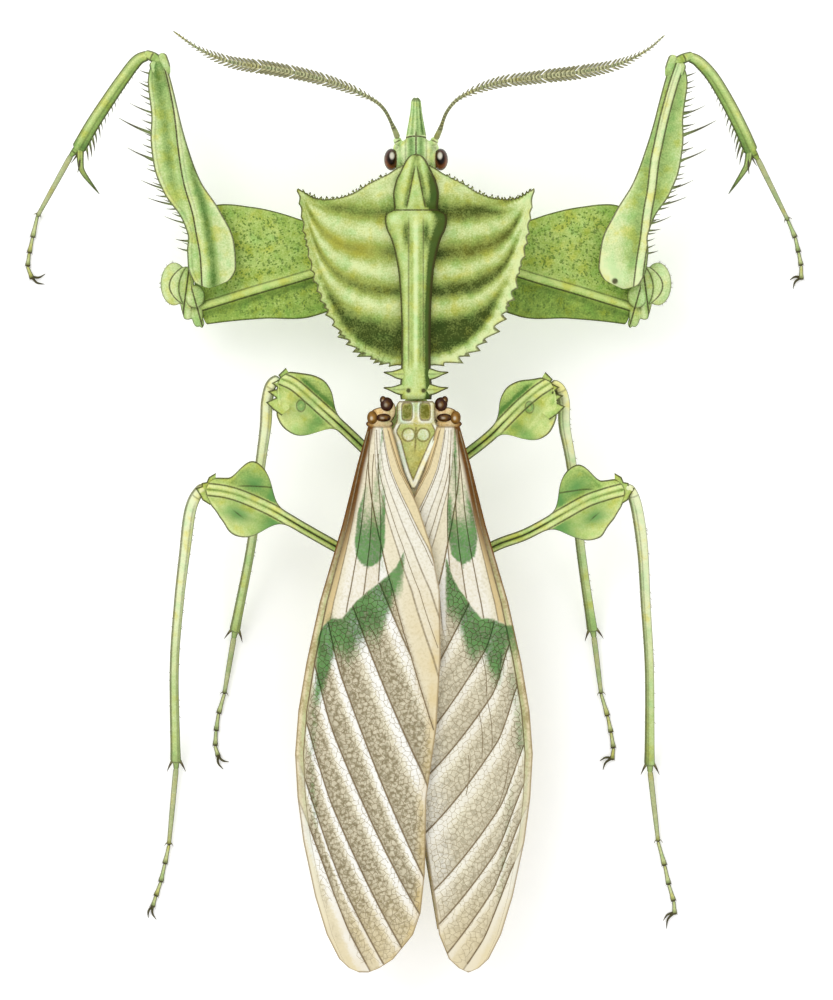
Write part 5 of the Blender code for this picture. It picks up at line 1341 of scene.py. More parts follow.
thorax = {
    "voxel": 0.17, "smoothing": 7, "collar": [(0, 14.2, 13.7), (0, 12.6, 13.9), (0, 11, 14.3)],
    "collarWidth": [(0, 1.1), (1, 1.25)], "throat": [(0, 38, 15), (0, 40, 15.2), (0, 41.5, 15.2)],
    "throatWidth": [(0, 1.05), (1, 1)],
    "rings": [(12.6, 1.6, 13.5), (11, 2.4, 14.2), (8, 3.4, 14), (3.3, 3.2, 13.8), (0, 3.3, 13.6), (-3, 2.8, 13.2),
        (-5.2, 2.1, 13)],
    "joints": [((1.9, 8.9, 11.6), (1.3, 1.4, 1)), ((2.1, -0.5, 11.3), (1.3, 1.5, 1)), ((2.9, 31, 13.4),
        (1.2, 1.5, 1.2)), ((3.35, 5, 9.9), (0.75, 0.75, 0.75)), ((4.35, -7.2, 9.7), (0.7, 0.75, 0.7))],
    "seams": (12.4, 9.2, 6, 3.1, 0.4, -2.4),
}
abdomen = {
    "startY": -4.2, "endY": -41, "count": 7, "around": 72, "flare": 0.07,
    "half": [(0, 2.4), (0.16, 3.6), (0.35, 4.1), (0.65, 3.7), (0.85, 2.9), (1, 1.7)],
    "height": [(0, 1.7), (0.3, 2.5), (0.7, 2.1), (1, 1.2)],
    "z": [(0, 12.9), (0.4, 11.6), (1, 9.2)],
    "cercus": [(1.1, -40.6, 9.4), (1.8, -43.6, 9.6), (2.1, -46.2, 9.2)],
    "cercusWidth": [(0, 0.36), (0.5, 0.42), (0.8, 0.34), (1, 0.14)], "beads": 11,
}


def makeThorax():
    nodes = ["prothorax", "mesothorax", "metathorax", "neck"]
    nodes += [f"{pair}_coxa_{side}" for pair in ("mid", "hind") for side in sides]
    shells = [nodeShell(name) for name in nodes]
    for name in ("throat", "collar"):
        shells.append(ringShell(tube(thorax[name], 20, thorax[name + "Width"], around=24).rings))
    y = [place for place, _, _ in thorax["rings"]]
    barrel = tube([(0, place, z) for place, _, z in thorax["rings"]], 60,
                  [((y[0] - place) / (y[0] - y[-1]), half) for place, half, _ in thorax["rings"]],
                  [(0, 1.1), (0.4, 1.9), (0.8, 1.8), (1, 1.5)], around=40, endRound=0.8)
    shells.append(ringShell(barrel.rings))
    for sign in sides.values():
        shells += [ballShell((sign * x, y, z), half) for (x, y, z), half in thorax["joints"]]
    piece = fuse("thorax_skin", shells, ["underside"], thorax["voxel"], thorax["smoothing"])

    def paint(x, y, z):
        seams = np.min([abs(y - place) for place in thorax["seams"]], axis=0)
        signed = np.where(abs(x) < 4, seams, 1)
        low = ease(12.6, 11.2, z)
        shade = 0.35 + 0.25 * low + 0.2 * bell(signed, 0.2, 0.3)
        return {"shade": shade, **drawn((signed, 0.7), (x, 0.6 * low * ease(12.2, 11.8, y)), (z - 13.2, 0.35))}

    paintByPlace(piece, paint)
    finishPiece(piece, nodes)


def makeAbdomen():
    a = abdomen
    shells = []
    turn = fullTurn(a["around"])[None, :]
    c, s = np.cos(turn), np.sin(turn)
    off = abs(c)
    t = np.linspace(0, 1, 26)[:, None]
    flare = 0.98 + a["flare"] * ease(0, 0.85, t) - 0.22 * ease(0.94, 1, t) - 0.1 * ease(0.06, 0, t)
    shade = 0.42 + 0.35 * ease(0.75, 1, t) - 0.2 * bell(t, 0.5, 0.3) + 0.15 * bell(off, 0.5, 0.12) - 0.15 * (s < 0)
    for n in range(a["count"]):
        u = np.minimum((n + t * 1.03) / a["count"] - 0.001, 1)
        x = c * curve(a["half"], u) * flare * (1 + 0.05 * bell(off, 1, 0.15))
        y = a["startY"] - u * (a["startY"] - a["endY"]) + 0 * c
        ridge = 1 + 0.03 * bell(c, 0, 0.1) * (s > 0)
        z = curve(a["z"], u) + np.sign(s) * abs(s) ** 0.92 * curve(a["height"], u) * flare * ridge
        ink = drawn(((t - 0.9) * 5, 0.8 + 0 * c), (x, 0.5 + 0 * t), ((off - 0.78) * 3.5, 0.4 + 0 * t))
        shells.append(ringShell(np.stack([x, y, z], -1), shade=shade, **ink))
    for sign in sides.values():
        g = tube(flip(a["cercus"], sign), 90, a["cercusWidth"], around=16)
        bead = 1 + 0.1 * np.cos(2 * np.pi * a["beads"] * g.u)
        shells.append(ringShell(swollen(g, bead), shade=0.4 + 1.5 * (1.1 - bead)))
    nodes = [f"abdomen_{n + 1}" for n in range(a["count"])] + ["cercus_left", "cercus_right"]
    buildPiece("abdomen_skin", shells, ["underside"], nodes)


makeThorax()
makeAbdomen()
print("body made")


# The plates between the wings and the knobs at their roots

plates = {
    "half": [(1.9, 0.2), (2.5, 0.6), (5, 1.62), (8.2, 2.72), (8.8, 2.9), (9.3, 2.7), (10.3, 2.3), (12, 2.3),
        (12.45, 2)],
    "z": 17.75, "wall": 0.5, "shift": 0.34, "sunk": 0.55,
    "cell": (1.08, 11.2), "cellHalf": (0.62, 1.05), "round": (0.88, 8.4), "roundSize": 0.78,
    # knobs: place outward and forward of the hinge's middle, half sizes and how pale they are
    "knobs": (((-0.75, 0.85, 0.05), (0.78, 0.85, 0.45), 0), ((-0.35, -0.75, 0.12), (0.9, 0.5, 0.4), 0.12),
        ((0.98, -0.75, 0), (0.64, 0.82, 0.5), 0.45), ((-0.3, 1.35, 0), (0.4, 0.5, 0.35), 0.1)),
    "sclerites": (((-0.15, -0.55, -0.2), (1.5, 1.05, 0.42)), ((0.1, -1.5, -0.2), (1.65, 0.6, 0.36)),
        ((-1.35, 0.1, -0.2), (0.5, 1, 0.35))),
}


def makePlate():
    rearY, frontY = plates["half"][0][0], plates["half"][-1][0]
    y = np.linspace(rearY, frontY, 150)[:, None]
    half = curve(plates["half"], y)
    x = np.linspace(-1, 1, 91)[None, :] * half
    y = y + 0 * x
    out = abs(x)
    rim = np.minimum(np.minimum(half - out, y - rearY), frontY - y)
    front = ease(9.5, 9.9, y)
    (cellX, cellY), (halfX, halfY), disc = plates["cell"], plates["cellHalf"], plates["roundSize"]
    cell = (((out - cellX) / halfX) ** 4 + ((y - cellY) / halfY) ** 4) ** 0.25
    fromDisc = np.hypot(out - plates["round"][0], y - plates["round"][1])
    inner = rim - 0.6 - 0.22 * ease(8.6, 7.6, y)
    z = plates["z"] - 0.35 * (x / 3) ** 2 + 0.14 * ease(0, 0.5, rim) + 0.16 * bell(rim, 0.3, 0.22) * (1 - front)
    z = z + front * (0.2 * bell(cell, 1.25, 0.3) - 0.14 * ease(1, 0.5, cell)) + 0.12 * ease(0.8, 0.4, fromDisc)
    z = z - 0.12 * bell(x, 0, 0.12) * ease(5.5, 7.5, y) - 0.2 * bell(y, 9.7, 0.2)
    top = np.stack([x - plates["shift"] * ease(9, 3.5, y), y, z], -1)
    shade = np.where(inner > 0, 0.5 + 0.2 * ease(8, 3.5, y), 0) - 0.22 * ease(disc, disc - 0.2, fromDisc)
    shade = shade + (0.28 + 0.62 * ease(1, 0.7, cell) - 0.2 * bell(cell, 1.25, 0.25) - shade) * front
    middleLine = 0.7 * ease(6, 7.2, y) * (y < 9.3)
    ink = drawn((inner, 0.75 * (1 - front)), (fromDisc - disc, 0.7 * (inner > 0.05)),
                (np.where(front > 0.5, (cell - 1) * 0.8, x), np.maximum(0.8 * front, middleLine)))
    shell = sheetShell(top, top - (0, 0, plates["wall"]), rim=rim, shade=shade, **ink)
    base = ballShell((0, 6.2, 17), (2.6, 5.6, 0.6), 32, 18, shade=0.05)
    buildPiece("scutellum_plate", [shell, base], ["plate"], ["scutellum"])


def makeKnobs(side, sign):
    middle, half = boxOf("wing_root_" + side)
    hinge = middle + (0, 0, half[2] - plates["sunk"])
    shells = []
    for place, half, *tone in plates["knobs"] + plates["sclerites"]:
        centre = hinge + np.array([sign, 1, 1]) * place
        ball = ballShell(centre, half, 40 if tone else 44, 26, skin=0 if tone else 1)
        x, y, z = ((ball.points - centre) / half).T
        if tone:
            # painted highlights: each knob paler towards its middle, with a pale glint in the spot mask
            glint = ease(0.4, 0.1, np.hypot(x + 0.15, y + 0.1)) * (z > 0)
            shade = tone[0] + 0.35 * ease(0.7, 0.2, np.hypot(x, y))
            ball.masks.update(shade=shade, spot=(0.35 + tone[0]) * glint, rim=0.3 * ease(0, 0.5, z))
        else:
            ball.masks.update(shade=0.1 + 0.75 * ease(0.2, 1, x * sign), rim=0.3 * ease(0, 0.8, z))
        shells.append(ball)
    buildPiece("wing_knobs_" + side, shells, ["knob", "sclerite"], ["wing_root_" + side])


makePlate()
for hand, sign in sides.items():
    makeKnobs(hand, sign)
print("plates made")


# Wings: thin pleated sheets with raised veins and a net of small ones

wings = {
    "rootY": 9.4, "tipY": -56.2, "shift": -0.25, "rows": 300, "columns": 120, "wall": 0.44,
    "outer": [(0, 5.5), (0.07, 6.8), (0.18, 8.6), (0.32, 11.3), (0.43, 12.9), (0.52, 13.9), (0.6, 14.3), (0.68, 14),
        (0.76, 13.3), (0.86, 11.9), (0.93, 10.5), (0.975, 9), (0.992, 7.8), (1, 6.6)],
    "innerleft": [(0, -2.7), (0.08, -1.3), (0.15, 0.6), (0.22, 2.1), (0.3, 3.1), (0.42, 3.2), (0.55, 2.7), (0.68, 1.5),
        (0.82, 1.3), (0.89, 0.8), (0.93, -0.1), (0.975, -2.5), (0.992, -4.2), (1, -5.5)],
    "innerright": [(0, 2.7), (0.08, 1.3), (0.15, -0.6), (0.22, -1.9), (0.3, -2.6), (0.42, -2.6), (0.55, -1.5),
        (0.68, 0.4), (0.8, 1.8), (0.88, 2.6), (0.93, 3), (0.975, 4.2), (0.992, 5.4), (1, 6.5)],
    "crown": [(0, 17.9), (0.2, 17.6), (0.45, 16.2), (0.75, 13.6), (1, 11.2)],
    "drop": [(0, 0.9), (0.2, 2.6), (0.5, 4.2), (0.8, 3.2), (1, 1)],
    "lift": [(-6, 0), (-2.8, 1.15)], "bow": 1.8, "widest": 14.3,
    # veins of the rear field: share = t / slope - start + pitch b
    "slope": 1.5, "start": 0.1, "pitch": 0.15, "pleat": 0.13,
    # long slanting folds: how far down each crosses the line 7 mm out, and how steep it is
    "folds": {"left": [(-10, 2.7), (1.9, 2.7), (13, 2.7), (25.3, 2.7), (33.8, 2.3), (42.5, 2.15), (48.9, 2),
        (52.8, 1.9), (64, 1.9)], "right": [(3, 2.4), (11, 2.1), (20, 1.6), (26.2, 1.35), (32.8, 1.35), (41, 1.3),
        (45.7, 1.3), (50, 1.4), (54.3, 1.5), (66, 1.5)]},
    "foldMiddle": 7, "foldBend": {"left": 2.4, "right": 3}, "foldArch": {"left": 1, "right": 0.8},
    # short thin veins between the folds: X and Y of both ends
    "threads": {"left": [(-9.9, -15.6, -8.9, -19.5), (-5.6, -14.5, -4.2, -18)], "right": [(7.9, -18, 8.4, -23),
        (8.5, -23.2, 9.1, -29.2), (7.5, -24.6, 7.9, -30.4), (10.2, -17.5, 9.4, -21.8), (6.3, -30, 6, -34.8),
        (11.2, -30.5, 9.6, -37)]},
    # green marks, in millimetres along Y
    "dropEdge": {"left": ([(-7.5, -5.9), (-7.1, -6.6), (-6.3, -7.2), (-4.5, -7.45), (-1, -7.1), (3, -6), (8.5, -4.8)],
        [(-7.5, -5.6), (-7.1, -4.7), (-6.3, -4.05), (-4.5, -3.65), (-1, -3.55), (3, -3.55), (8.5, -3.8)]),
        "right": ([(-7.1, 5.5), (-6.7, 4.8), (-6, 4.2), (-4, 3.75), (-1, 3.65), (3, 3.8), (8.3, 4.4)], [(-7.1, 5.8),
        (-6.7, 6.6), (-6, 7.2), (-4, 7.5), (-1, 7), (3, 5.9), (8.3, 4.9)])},
    # green band: X, its upper edge and its lower edge
    "band": {"left": ([(-12.2, -16.8), (-11.2, -14.6), (-10.2, -13.8), (-8.8, -13.5), (-7.2, -11.6), (-5.9, -10.4),
        (-3.6, -8.7), (-2.4, -7.4), (-1.4, -5.4)], [(-12, -19.5), (-10.8, -20.5), (-9.6, -17), (-7.9, -18.4),
        (-5.9, -15.4), (-4.4, -15.6), (-2.5, -10.6), (-1.2, -8.2)]), "right": ([(3.7, -6.4), (4.4, -8.6), (5.2, -10.1),
        (6.5, -11.9), (7.8, -13.6), (9, -13.6), (10.9, -14.4)], [(3.7, -12.6), (5, -13.6), (6.1, -17), (6.9, -18.5),
        (8, -16.8), (10, -19.5), (10.9, -17)])},
    # green stripes near the front edge: strength, middle and width across, and where each starts and ends
    "stripes": {"left": ((0.85, 0.12, 0.04, 0.32, 0.36, 0.54, 0.44), (0.45, 0.12, 0.035, 0.44, 0.5, 0.8, 0.68)),
        "right": ((0.6, 0.22, 0.06, 0.36, 0.4, 0.52, 0.42), (0.4, 0.09, 0.05, 0.42, 0.46, 0.6, 0.54),
        (0.3, 0.18, 0.05, 0.6, 0.7, 0.92, 0.85))},
    "netPitch": 0.7, "netJitter": 0.19, "netLean": 0.32, "netReach": 60, "netGirth": 0.034, "veinGirth": 0.075,
    "rounds": 12, "seed": 23,
}


def wingShare(y):
    return (wings["rootY"] - y) / (wings["rootY"] - wings["tipY"])


def wingHeight(x, share):
    fall = (np.maximum(x, 0) / wings["widest"]) ** wings["bow"]
    return curve(wings["crown"], share) - curve(wings["drop"], share) * fall


def wingBand(side, x, share, t):
    # which fold a point belongs to: whole numbers are the long slanting veins, and the rear field is below 0
    rear = (share - t / wings["slope"] + wings["start"]) / wings["pitch"]
    if side == "right":
        rear = rear + 4 * ease(0.3, 0.36, share)
    places, falls = (np.array(row) for row in zip(*wings["folds"][side]))
    out = sides[side] * (x - wings["shift"]) - wings["foldMiddle"]
    level = (wings["tipY"] - wings["rootY"]) * share + wings["rootY"] - wings["foldBend"][side] * ease(0.28, 0.03, t)
    down = -level
    level = level - wings["foldArch"][side] * (np.clip(out, -8, 8) / 5) ** 2
    for _ in range(wings["rounds"]):
        down = np.interp(down, places, falls) * out - level
    band = np.maximum(np.interp(down, places, np.arange(len(places))), 0.4)
    gap = np.diff(places)[np.clip(band.astype(int), 0, len(places) - 2)]
    breadth = gap / np.sqrt(1 + np.interp(down, places, falls) ** 2)
    return np.where(rear < 0, rear, band), rear, np.where(rear < 0, 1.6, breadth)


def edgeAt(table, value):
    places, values = zip(*table)
    return np.interp(value, places, values)


def outsideOf(side, share, t):
    # a point's X and Y from its shares of the way down the wing and across it
    sign = sides[side]
    near, far = edgeAt(wings["inner" + side], share), sign * edgeAt(wings["outer"], share)
    x = far + (near - far) * t
    return x + wings["shift"], wings["rootY"] + (wings["tipY"] - wings["rootY"]) * share


def wingTop(side, x, share, t):
    # height of the wing's upper face, with its pleats
    sign = sides[side]
    z = wingHeight(sign * (x - wings["shift"]), share)
    if side == "left":
        z = z + curve(wings["lift"], x - wings["shift"])
    b, rear, _ = wingBand(side, x, share, t)
    f = b - np.floor(b)
    strong = ease(0.3, 0.42, share) * ease(1, 0.95, share) * ease(0, 0.05, t) * ease(1, 0.97, t)
    strong = strong * ease(0, 0.3, abs(rear))
    weak = ease(0.05, 0.2, share) * (1 - ease(0.3, 0.42, share)) * ease(0, -0.4, rear)
    pleat = bell(f, 0.16, 0.13) + bell(f, 1.16, 0.13) - 0.9 * bell(f, 0.9, 0.13) - 0.9 * bell(f, -0.1, 0.13)
    z = z + wings["pleat"] * pleat * np.maximum(strong, 0.7 * weak)
    return z + 0.12 * bell(t, 0.045, 0.03) * ease(1, 0.8, share)


def wingPaint(side, x, y, share, t):
    # the wing's areas of colour, from 0 to 1, and where its folds lie
    isLeft = side == "left"
    band, rear, pitch = wingBand(side, x, share, t)
    anal = ease(0.3, -0.3, rear)
    upper, lower = (edgeAt(table, x) for table in wings["band"][side])
    within = ease(12.2, 11.4, -x) * ease(1.1, 1.7, -x) if isLeft else ease(3.3, 3.8, x)
    within = within * ease(0.25, -0.25, y - upper)
    left, right = (edgeAt(table, y) for table in wings["dropEdge"][side])
    inward = np.minimum(x - left, right - x)
    middle = (left + right) / 2 + (0.25 if isLeft else 0)
    streak = 0.55 * bell((x - middle) / np.maximum(right - left, 0.4), 0, 0.2) * ease(-3, 1, y)
    stripe = sum(strong * bell(t, at, wide) * ease(a, b, share) * ease(c, d, share)
                 for strong, at, wide, a, b, c, d in wings["stripes"][side])
    if isLeft:
        stripe = stripe + 0.4 * bell(rear, 0.2, 0.22) * bell(y, -6, 3.5) * ease(-1, -1.6, x)
    else:
        streak = streak + 0.4 * bell(x - left, 0.35, 0.5) * ease(-4, -1, y)
        stripe = stripe + 0.5 * bell(t, 0.1, 0.06) * bell(y, -28.6, 1.6)
    shore = ease(4, -5.2, y) + 0.5 * bell(inward, 0.25, 0.4) * ease(5, 0, y)
    drop = ease(-0.1, 0.25, inward) * (y > -7.5) * np.clip(np.maximum(shore, streak), 0, 1)
    green = np.clip(np.maximum(ease(-3.2, 2, y - lower) * within, drop) + stripe, 0, 1)
    base = np.maximum(1 - np.maximum(ease(0.35, 0.4, share), within), anal)
    brown = (1 if isLeft else 0.62) * (1 - base) * (1 - 0.5 * ease(0.86, 0.99, share)) * ease(0.03, 0.09, t)
    brown = brown * (1 - 0.7 * ease(0.8, 0.9, share) * ease(0.35, 0.15, t))
    white = (1 - anal) * base * ease(-2, -6, y) * ease(0.12, 0.2, t)
    ochre = 0.6 * ease(0.8, 0.97, share) + 0.5 * anal * ease(0.6, 0.9, t) * ease(0.2, 0.35, share)
    if isLeft:
        ochre = ochre + 0.75 * ease(0.9, 0.97, t) * ease(0.3, 0.45, share)
    else:
        white = white + 0.85 * ease(0.66, 0.88, t) * ease(0.42, 0.55, share) * ease(0.97, 0.8, share)
    dark = ease(0.95, 0.5, t * (edgeAt(wings["outer"], share) - 2.7)) * ease(0.34, 0.12, share)
    dark = dark + 0.4 * ease(0.25, 0.1, t * 11) * ease(0.6, 0.3, share)
    return {"band": band, "rear": rear, "pitch": pitch, "strength": (1 if isLeft else 0.5) + 0 * t, "base": base,
            "green": green, "brown": brown, "white": np.clip(white, 0, 1), "ochre": np.clip(ochre, 0, 1),
            "dark": np.clip(dark, 0, 1), "costal": ease(0.078, 0.06, t) * ease(0.9, 0.5, share)}


def wingFinish(name):
    # stripes and veins follow the folds, which whole numbers of the band mask mark
    material, place = newMaterial(name)
    band, across, base, strength, brown = (mask(key) for key in ("band", "across", "base", "strength", "brown"))
    fine, broad = cloud(place, 0.3, 3), cloud(place, 2.2)
    wobble = (fine - 0.5) * 0.35 + part(band)
    mottle = fade(cells(place, 0.78, 0.85), 0.1, 0.55)
    paper = rgb(242, 242, 238)
    # the pleats: a painted shade in light brown on one face of each fold, mottled by the net's cells, and a painted
    # highlight in white on the other
    colour = blend(fade(broad, 0.3, 0.7), rgb(224, 216, 190), rgb(234, 228, 202))
    rise = fade(wobble, 0.24, 0.5) * fade(wobble, 1.06, 0.9) * brown * fade(mottle, 0, 1, 0.62, 1)
    pleatShade = blend(fade(cloud(place, 0.42, 5), 0.42, 0.62), rgb(200, 191, 164), rgb(140, 130, 100))
    colour = blend(rise, colour, pleatShade)
    colour = blend(fade(wobble, 0.36, 0.14) * (1 - base) * strength * 0.9, colour, paper)
    # the base: long stripes of cream, beige and white
    anal = fade(band, 0.35, 0.15)
    ribs = band * 1.4 * anal + across * 8.5 * (1 - anal)
    pick = put("ShaderNodeTexWhiteNoise", {"W": calc("FLOOR", ribs)}, noise_dimensions="1D")["Value"]
    strip = ramp(pick, [(0, rgb(236, 234, 222)), (0.25, rgb(224, 212, 174)), (0.45, rgb(228, 202, 140)),
                        (0.7, rgb(198, 180, 140)), (0.85, rgb(222, 210, 174)), (1, rgb(240, 238, 230))])
    strip = blend(fade(fine, 0.4, 0.75, 0, 0.4), strip, rgb(186, 176, 138))
    colour = blend(base, colour, strip)
    colour = blend(mask("white") * fade(fine, 0.3, 0.7, 0.55, 0.25), colour, paper)
    mixed = fine * 0.5 + broad * 0.5
    front = blend(fade(across, 0.02, 0.045), rgb(222, 208, 168), rgb(192, 196, 144))
    front = blend(fade(mixed, 0.4, 0.65), front, rgb(170, 156, 108))
    colour = blend(mask("costal"), colour, front)
    # a line at every whole number, thinner towards the wing's edge
    ribLine = fade(nearWhole(ribs), 0.08, 0.02) * base
    foldLine = fade(nearWhole(band) * mask("pitch"), 0.17, 0.03) * (1 - calc("MAXIMUM", base, mask("costal")))
    # painted shade: darker grey-brown in each pleat's crease, just before its fold line
    colour = blend(fade(wobble, 0.72, 1) * brown * 0.35, colour, rgb(128, 116, 88))
    lines = calc("MAXIMUM", ribLine * 0.7, foldLine * (strength * 0.5 + 0.3))
    colour = blend(mask("ochre") * fade(broad, 0.2, 0.8, 0.35, 0.8), colour, rgb(214, 190, 130))
    # the green marks, ragged at their edges
    ragged = (broad + fine - 1) * 0.7 + mask("green")
    green = fade(ragged, 0.1, 1.1) * fade(mask("green"), 0, 0.3) * fade(fine, 0.1, 0.7, 0.8, 1)
    colour = blend(green, colour, blend(fade(mixed, 0.35, 0.65), rgb(52, 96, 42), rgb(98, 146, 80)))
    colour = blend(lines * fade(fine, 0.1, 0.6, 0.5, 1), colour, rgb(110, 92, 62))
    colour = blend(fade(mask("rim"), 0.26, 0.08) * 0.75, colour, rgb(142, 120, 84))
    colour = blend(mask("dark"), colour, blend(fine, rgb(60, 34, 6), rgb(128, 84, 26)))
    shine(colour, 0.5, fine - mottle * 0.6 - lines, 0.3, 0.05)
    return material


def veinFinish(name):
    # brown, and green where the veins cross the green marks
    material, place = newMaterial(name)
    tone = (cloud(place, 0.5) - 0.5) * 0.3 + mask("tipward")
    stops = [(0, rgb(196, 184, 152)), (0.45, rgb(126, 108, 78)), (0.7, rgb(98, 92, 58)), (0.95, rgb(40, 78, 34))]
    shine(ramp(tone, stops), 0.5, cloud(place, 0.1), 0.2, 0.02)
    return material


finishes["wing"] = wingFinish("wing")
finishes["vein"] = veinFinish("vein")





def makeTegmen(side):
    v = np.linspace(0, 1, wings["rows"])
    share = (0.35 * v + 0.65 * (1 - (1 - v) ** 1.6))[:, None]
    t = np.linspace(0, 1, wings["columns"])[None, :]
    t = 0.5 - 0.5 * (0.75 * np.cos(np.pi * t) + 0.25 * (1 - 2 * t))
    share = share + 0 * t
    t = t + 0 * share
    x, y = outsideOf(side, share, t)
    top = np.stack([x, y, wingTop(side, x, share, t)], -1)
    breadth = abs(edgeAt(wings["outer"], share) - sides[side] * edgeAt(wings["inner" + side], share))
    length = wings["rootY"] - wings["tipY"]
    masks = {**wingPaint(side, x, y, share, t), "across": t,
             "rim": np.minimum(np.minimum(t, 1 - t) * breadth, np.minimum(share, 1 - share) * length)}
    thin = wings["wall"] * (0.5 + 0.5 * ease(0, 1, masks["rim"]))
    shell = sheetShell(top, top - np.stack([0 * x, 0 * x, thin], -1))
    piece = buildMesh("tegmen_sheet_" + side, [shell], ["wing"])
    for key, values in masks.items():
        setMask(piece.data, key, np.tile(np.asarray(values).ravel(), 2))
    finishPiece(piece, ["tegmen_" + side])
    makeVeins(side)


def pinned(side, x, y):
    # a point's shares on the wing from its X and Y
    share = wingShare(y)
    near = edgeAt(wings["inner" + side], share) + wings["shift"]
    far = sides[side] * edgeAt(wings["outer"], share) + wings["shift"]
    return share, (x - far) / (near - far)


def hexNet(step, reach):
    # corners and sides of a honeycomb
    corners, index = [], {}
    side = step / math.sqrt(3)
    for row in range(-reach, reach + 1):
        for column in range(-reach, reach + 1):
            x, y = column * step + (row % 2) * step / 2, row * step * 0.866
            for n in range(6):
                a = math.pi / 3 * n + math.pi / 6
                corner = (x + side * math.cos(a), y + side * math.sin(a))
                key = (round(corner[0] / step * 12), round(corner[1] / step * 12))
                if index.setdefault(key, len(corners)) == len(corners):
                    corners.append(corner)
    tree = KDTree(len(corners))
    for n, corner in enumerate(corners):
        tree.insert((*corner, 0), n)
    tree.balance()
    return np.array(corners), {tuple(sorted((n, found[1]))) for n, corner in enumerate(corners)
                               for found in tree.find_range((*corner, 0), side * 1.1) if found[1] != n}


def makeVeins(side):
    sign, thick = sides[side], wings["veinGirth"]
    points, edges, girths, tones = [], [], [], []

    def keepOn(x, y, share, t, keep, pairs, girth, tone):
        # adds the kept points, and the pairs whose two ends are kept
        place = np.cumsum(keep) - 1 + len(points)
        edges.extend((int(place[a]), int(place[b])) for a, b in pairs if keep[a] and keep[b])
        points.extend(np.stack([x, y, wingTop(side, x, share, t)], -1)[keep].tolist())
        girths.extend(np.broadcast_to(girth, x.shape)[keep].tolist())
        tones.extend(tone[keep].tolist())

    def addLine(share, t, girth, wanted=lambda found: True):
        # a vein where it lies on the wing and where its own test holds
        keep = (share > 0.004) & (share < 0.985) & (t > 0.06) & (t < 0.985)
        share, t = np.clip(share, 0, 1), np.clip(t, 0, 1)
        x, y = outsideOf(side, share, t)
        found = wingPaint(side, x, y, share, t)
        pairs = zip(range(len(x) - 1), range(1, len(x)))
        keepOn(x, y, share, t, keep & wanted(found), pairs, girth, 0.42 + 0.5 * found["green"])

    t = np.linspace(0, 1, 160)
    for k in range(-5, 1):
        addLine(t / wings["slope"] - wings["start"] + wings["pitch"] * k, t, thick * (0.6 if k < 0 else 1),
                lambda found: found["rear"] < 0.5)
    out = np.linspace(14.6, -4, 260)
    x = sign * out + wings["shift"]
    arch = wings["foldArch"][side] * (np.clip(out - wings["foldMiddle"], -8, 8) / 5) ** 2
    for place, fall in wings["folds"][side][1:-1]:
        straight = y = fall * (out - wings["foldMiddle"]) - place + arch
        for _ in range(wings["rounds"]):
            y = straight + wings["foldBend"][side] * ease(0.28, 0.03, pinned(side, x, y)[1])
        addLine(*pinned(side, x, y), thick * ease(14.6, 12.6, out),
                lambda found: (found["base"] < 0.5) & (found["rear"] > 0))
    share = np.linspace(0.004, 0.985, 200)
    addLine(share, 0.062 + 0 * share, thick * ease(0.85, 0.4, share) + 0.01)
    for across in (0.2353, 0.3529, 0.4706):
        addLine(np.linspace(0.05, 0.36, 60), np.full(60, across), thick * 0.7, lambda found: found["base"] > 0.5)
    v = np.linspace(0, 1, 40)
    for x0, y0, x1, y1 in wings["threads"][side]:
        addLine(*pinned(side, x0 + (x1 - x0) * v + 0.25 * np.sin(np.pi * v), y0 + (y1 - y0) * v), thick * 0.6)

    # the net of small veins, jittered, and fainter where the wing is white
    net, pairs = hexNet(wings["netPitch"], wings["netReach"])
    net = net + np.random.default_rng(wings["seed"]).uniform(-1, 1, net.shape) * wings["netJitter"]
    cos, sin = math.cos(wings["netLean"]), -sign * math.sin(wings["netLean"])
    x, y = cos * net[:, 0] - sin * net[:, 1] + sign * 5.5, sin * net[:, 0] + cos * net[:, 1] - 30
    share, t = pinned(side, x, y)
    keep = (share > 0.12) & (share < 0.985) & (t > 0.064) & (t < 0.98)
    share, t = np.clip(share, 0, 1), np.clip(t, 0, 1)
    found = wingPaint(side, x, y, share, t)
    f = found["band"] - np.floor(found["band"])
    weight = found["brown"] * (0.45 + 0.55 * ease(0.25, 0.5, f) * ease(1.05, 0.92, f))
    weight = np.clip(weight + 0.5 * found["green"] * (found["base"] < 0.6), 0, 1)
    keepOn(x, y, share, t, keep & (weight > 0.2), pairs, wings["netGirth"] * (0.5 + 0.5 * weight),
           0.06 + 0.26 * weight + 0.5 * found["green"])

    mesh = bpy.data.meshes.new("veins_" + side)
    mesh.from_pydata((np.array(points) * mm).tolist(), edges, [])
    setMask(mesh, "girth", np.array(girths, np.float32) * mm)
    setMask(mesh, "tipward", tones)
    finishPiece(grow(addObject("veins_" + side, mesh), "veins", Sides=5, Material=finishes["vein"]))


hindwings = {"startY": 6.4, "tipY": -51, "inset": 1.1, "depth": 1.05, "wall": 0.32, "rows": 150, "columns": 90,
             "rays": 11, "wave": 0.09}


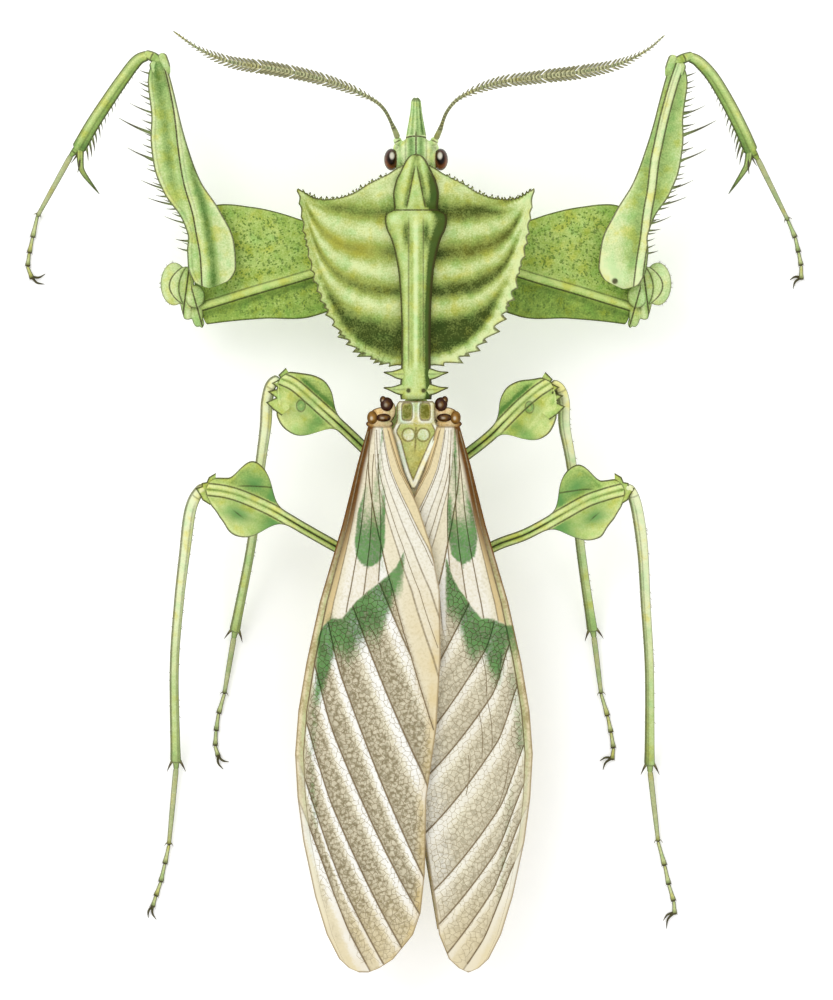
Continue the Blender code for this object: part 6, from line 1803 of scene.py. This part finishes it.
def makeHindwing(side):
    sign = sides[side]
    h = hindwings
    v = np.linspace(0, 1, h["rows"])[:, None]
    u = np.linspace(0, 1, h["columns"])[None, :]
    y = h["startY"] + (h["tipY"] - h["startY"]) * v
    share = wingShare(y)
    near = edgeAt([(0.75, 0.4), (1, 2.8)], v)
    far = edgeAt(wings["outer"], share) - h["inset"]
    x = near + (far - near) * u * edgeAt([(0.8, 1), (1, 0.7)], v)
    ray = np.sin(np.pi * h["rays"] * u)
    ends = ease(0, 0.04, u) * ease(1, 0.96, u)
    z = wingHeight(x, share) - h["depth"] + h["wave"] * ray * ends * ease(0, 0.08, v)
    y = y + 0 * x
    top = np.stack([sign * x + wings["shift"], y, z], -1)
    bottom = top - (0, 0, h["wall"])
    line = (h["rays"] * u - np.round(h["rays"] * u)) * (far - near) / h["rays"]
    rim = np.minimum(np.minimum(u, 1 - u) * (far - near), np.minimum(v, 1 - v) * (h["startY"] - h["tipY"]))
    shell = sheetShell(top, bottom, rim=rim, shade=0.3 + 0.12 * ray + 0 * v, **drawn((line, 0.7 + 0 * v)))
    buildPiece("hindwing_sheet_" + side, [shell], ["membrane"], ["hindwing_" + side])


for hand in sides:
    makeTegmen(hand)
    makeHindwing(hand)
print("wings made")


# Floor, light and camera

studio = {
    "view": (0.00006, 0.0006), "lens": 500, "frameHeight": 0.120, "floorHalf": 3,
    "keyPower": 26, "keySize": 1.6, "keyPlace": (-1.3, 1.3, 2.6), "fillPower": 7, "fillSize": 2.2,
    "fillPlace": (1.8, -1, 2.2), "focusZ": 0.014, "worldStrength": 0.9, "paperGlow": 0.24,
}


def makeStudio():
    scene = bpy.context.scene
    half = studio["floorHalf"]
    mesh = bpy.data.meshes.new("floor")
    corners = [(-half, -half, 0), (half, -half, 0), (half, half, 0), (-half, half, 0)]
    mesh.from_pydata(corners, [], [(0, 1, 2, 3)])
    material, place = newMaterial("floorPaper")
    # a backlit white sheet, so that shadows stay faint
    colour = ramp(cloud(place, 3), [(0.2, (0.91, 0.91, 0.905, 1)), (0.8, (0.93, 0.93, 0.925, 1))])
    paper = put("ShaderNodeBsdfPrincipled", {"Base Color": colour, "Roughness": 0.9, "Specular IOR Level": 0.1,
                                             "Emission Color": (1, 1, 1, 1), "Emission Strength": studio["paperGlow"]})
    put("ShaderNodeOutputMaterial", {"Surface": paper})
    mesh.materials.append(material)
    addObject("floor", mesh)

    world = scene.world = bpy.data.worlds.new("studio")
    world.use_nodes = True
    backdrop = world.node_tree.nodes["Background"]
    backdrop.inputs[0].default_value = (1, 1, 1, 1)
    backdrop.inputs[1].default_value = studio["worldStrength"]
    for name in ("key", "fill"):
        light = bpy.data.lights.new(name, "AREA")
        light.energy, light.size = studio[name + "Power"], studio[name + "Size"]
        lamp = addObject(name, light)
        lamp.location = studio[name + "Place"]
        lamp.rotation_euler = (-Vector(studio[name + "Place"])).to_track_quat("-Z", "Y").to_euler()

    camera = bpy.data.cameras.new("camera")
    camera.sensor_fit = "VERTICAL"
    camera.sensor_height = camera.sensor_width = 36
    camera.lens = studio["lens"]
    camera.clip_start, camera.clip_end = 0.1, 20
    scene.camera = addObject("camera", camera)
    distance = studio["frameHeight"] * studio["lens"] / camera.sensor_height
    scene.camera.location = (*studio["view"], distance + studio["focusZ"])
    scene.view_settings.view_transform = "Standard"


makeStudio()
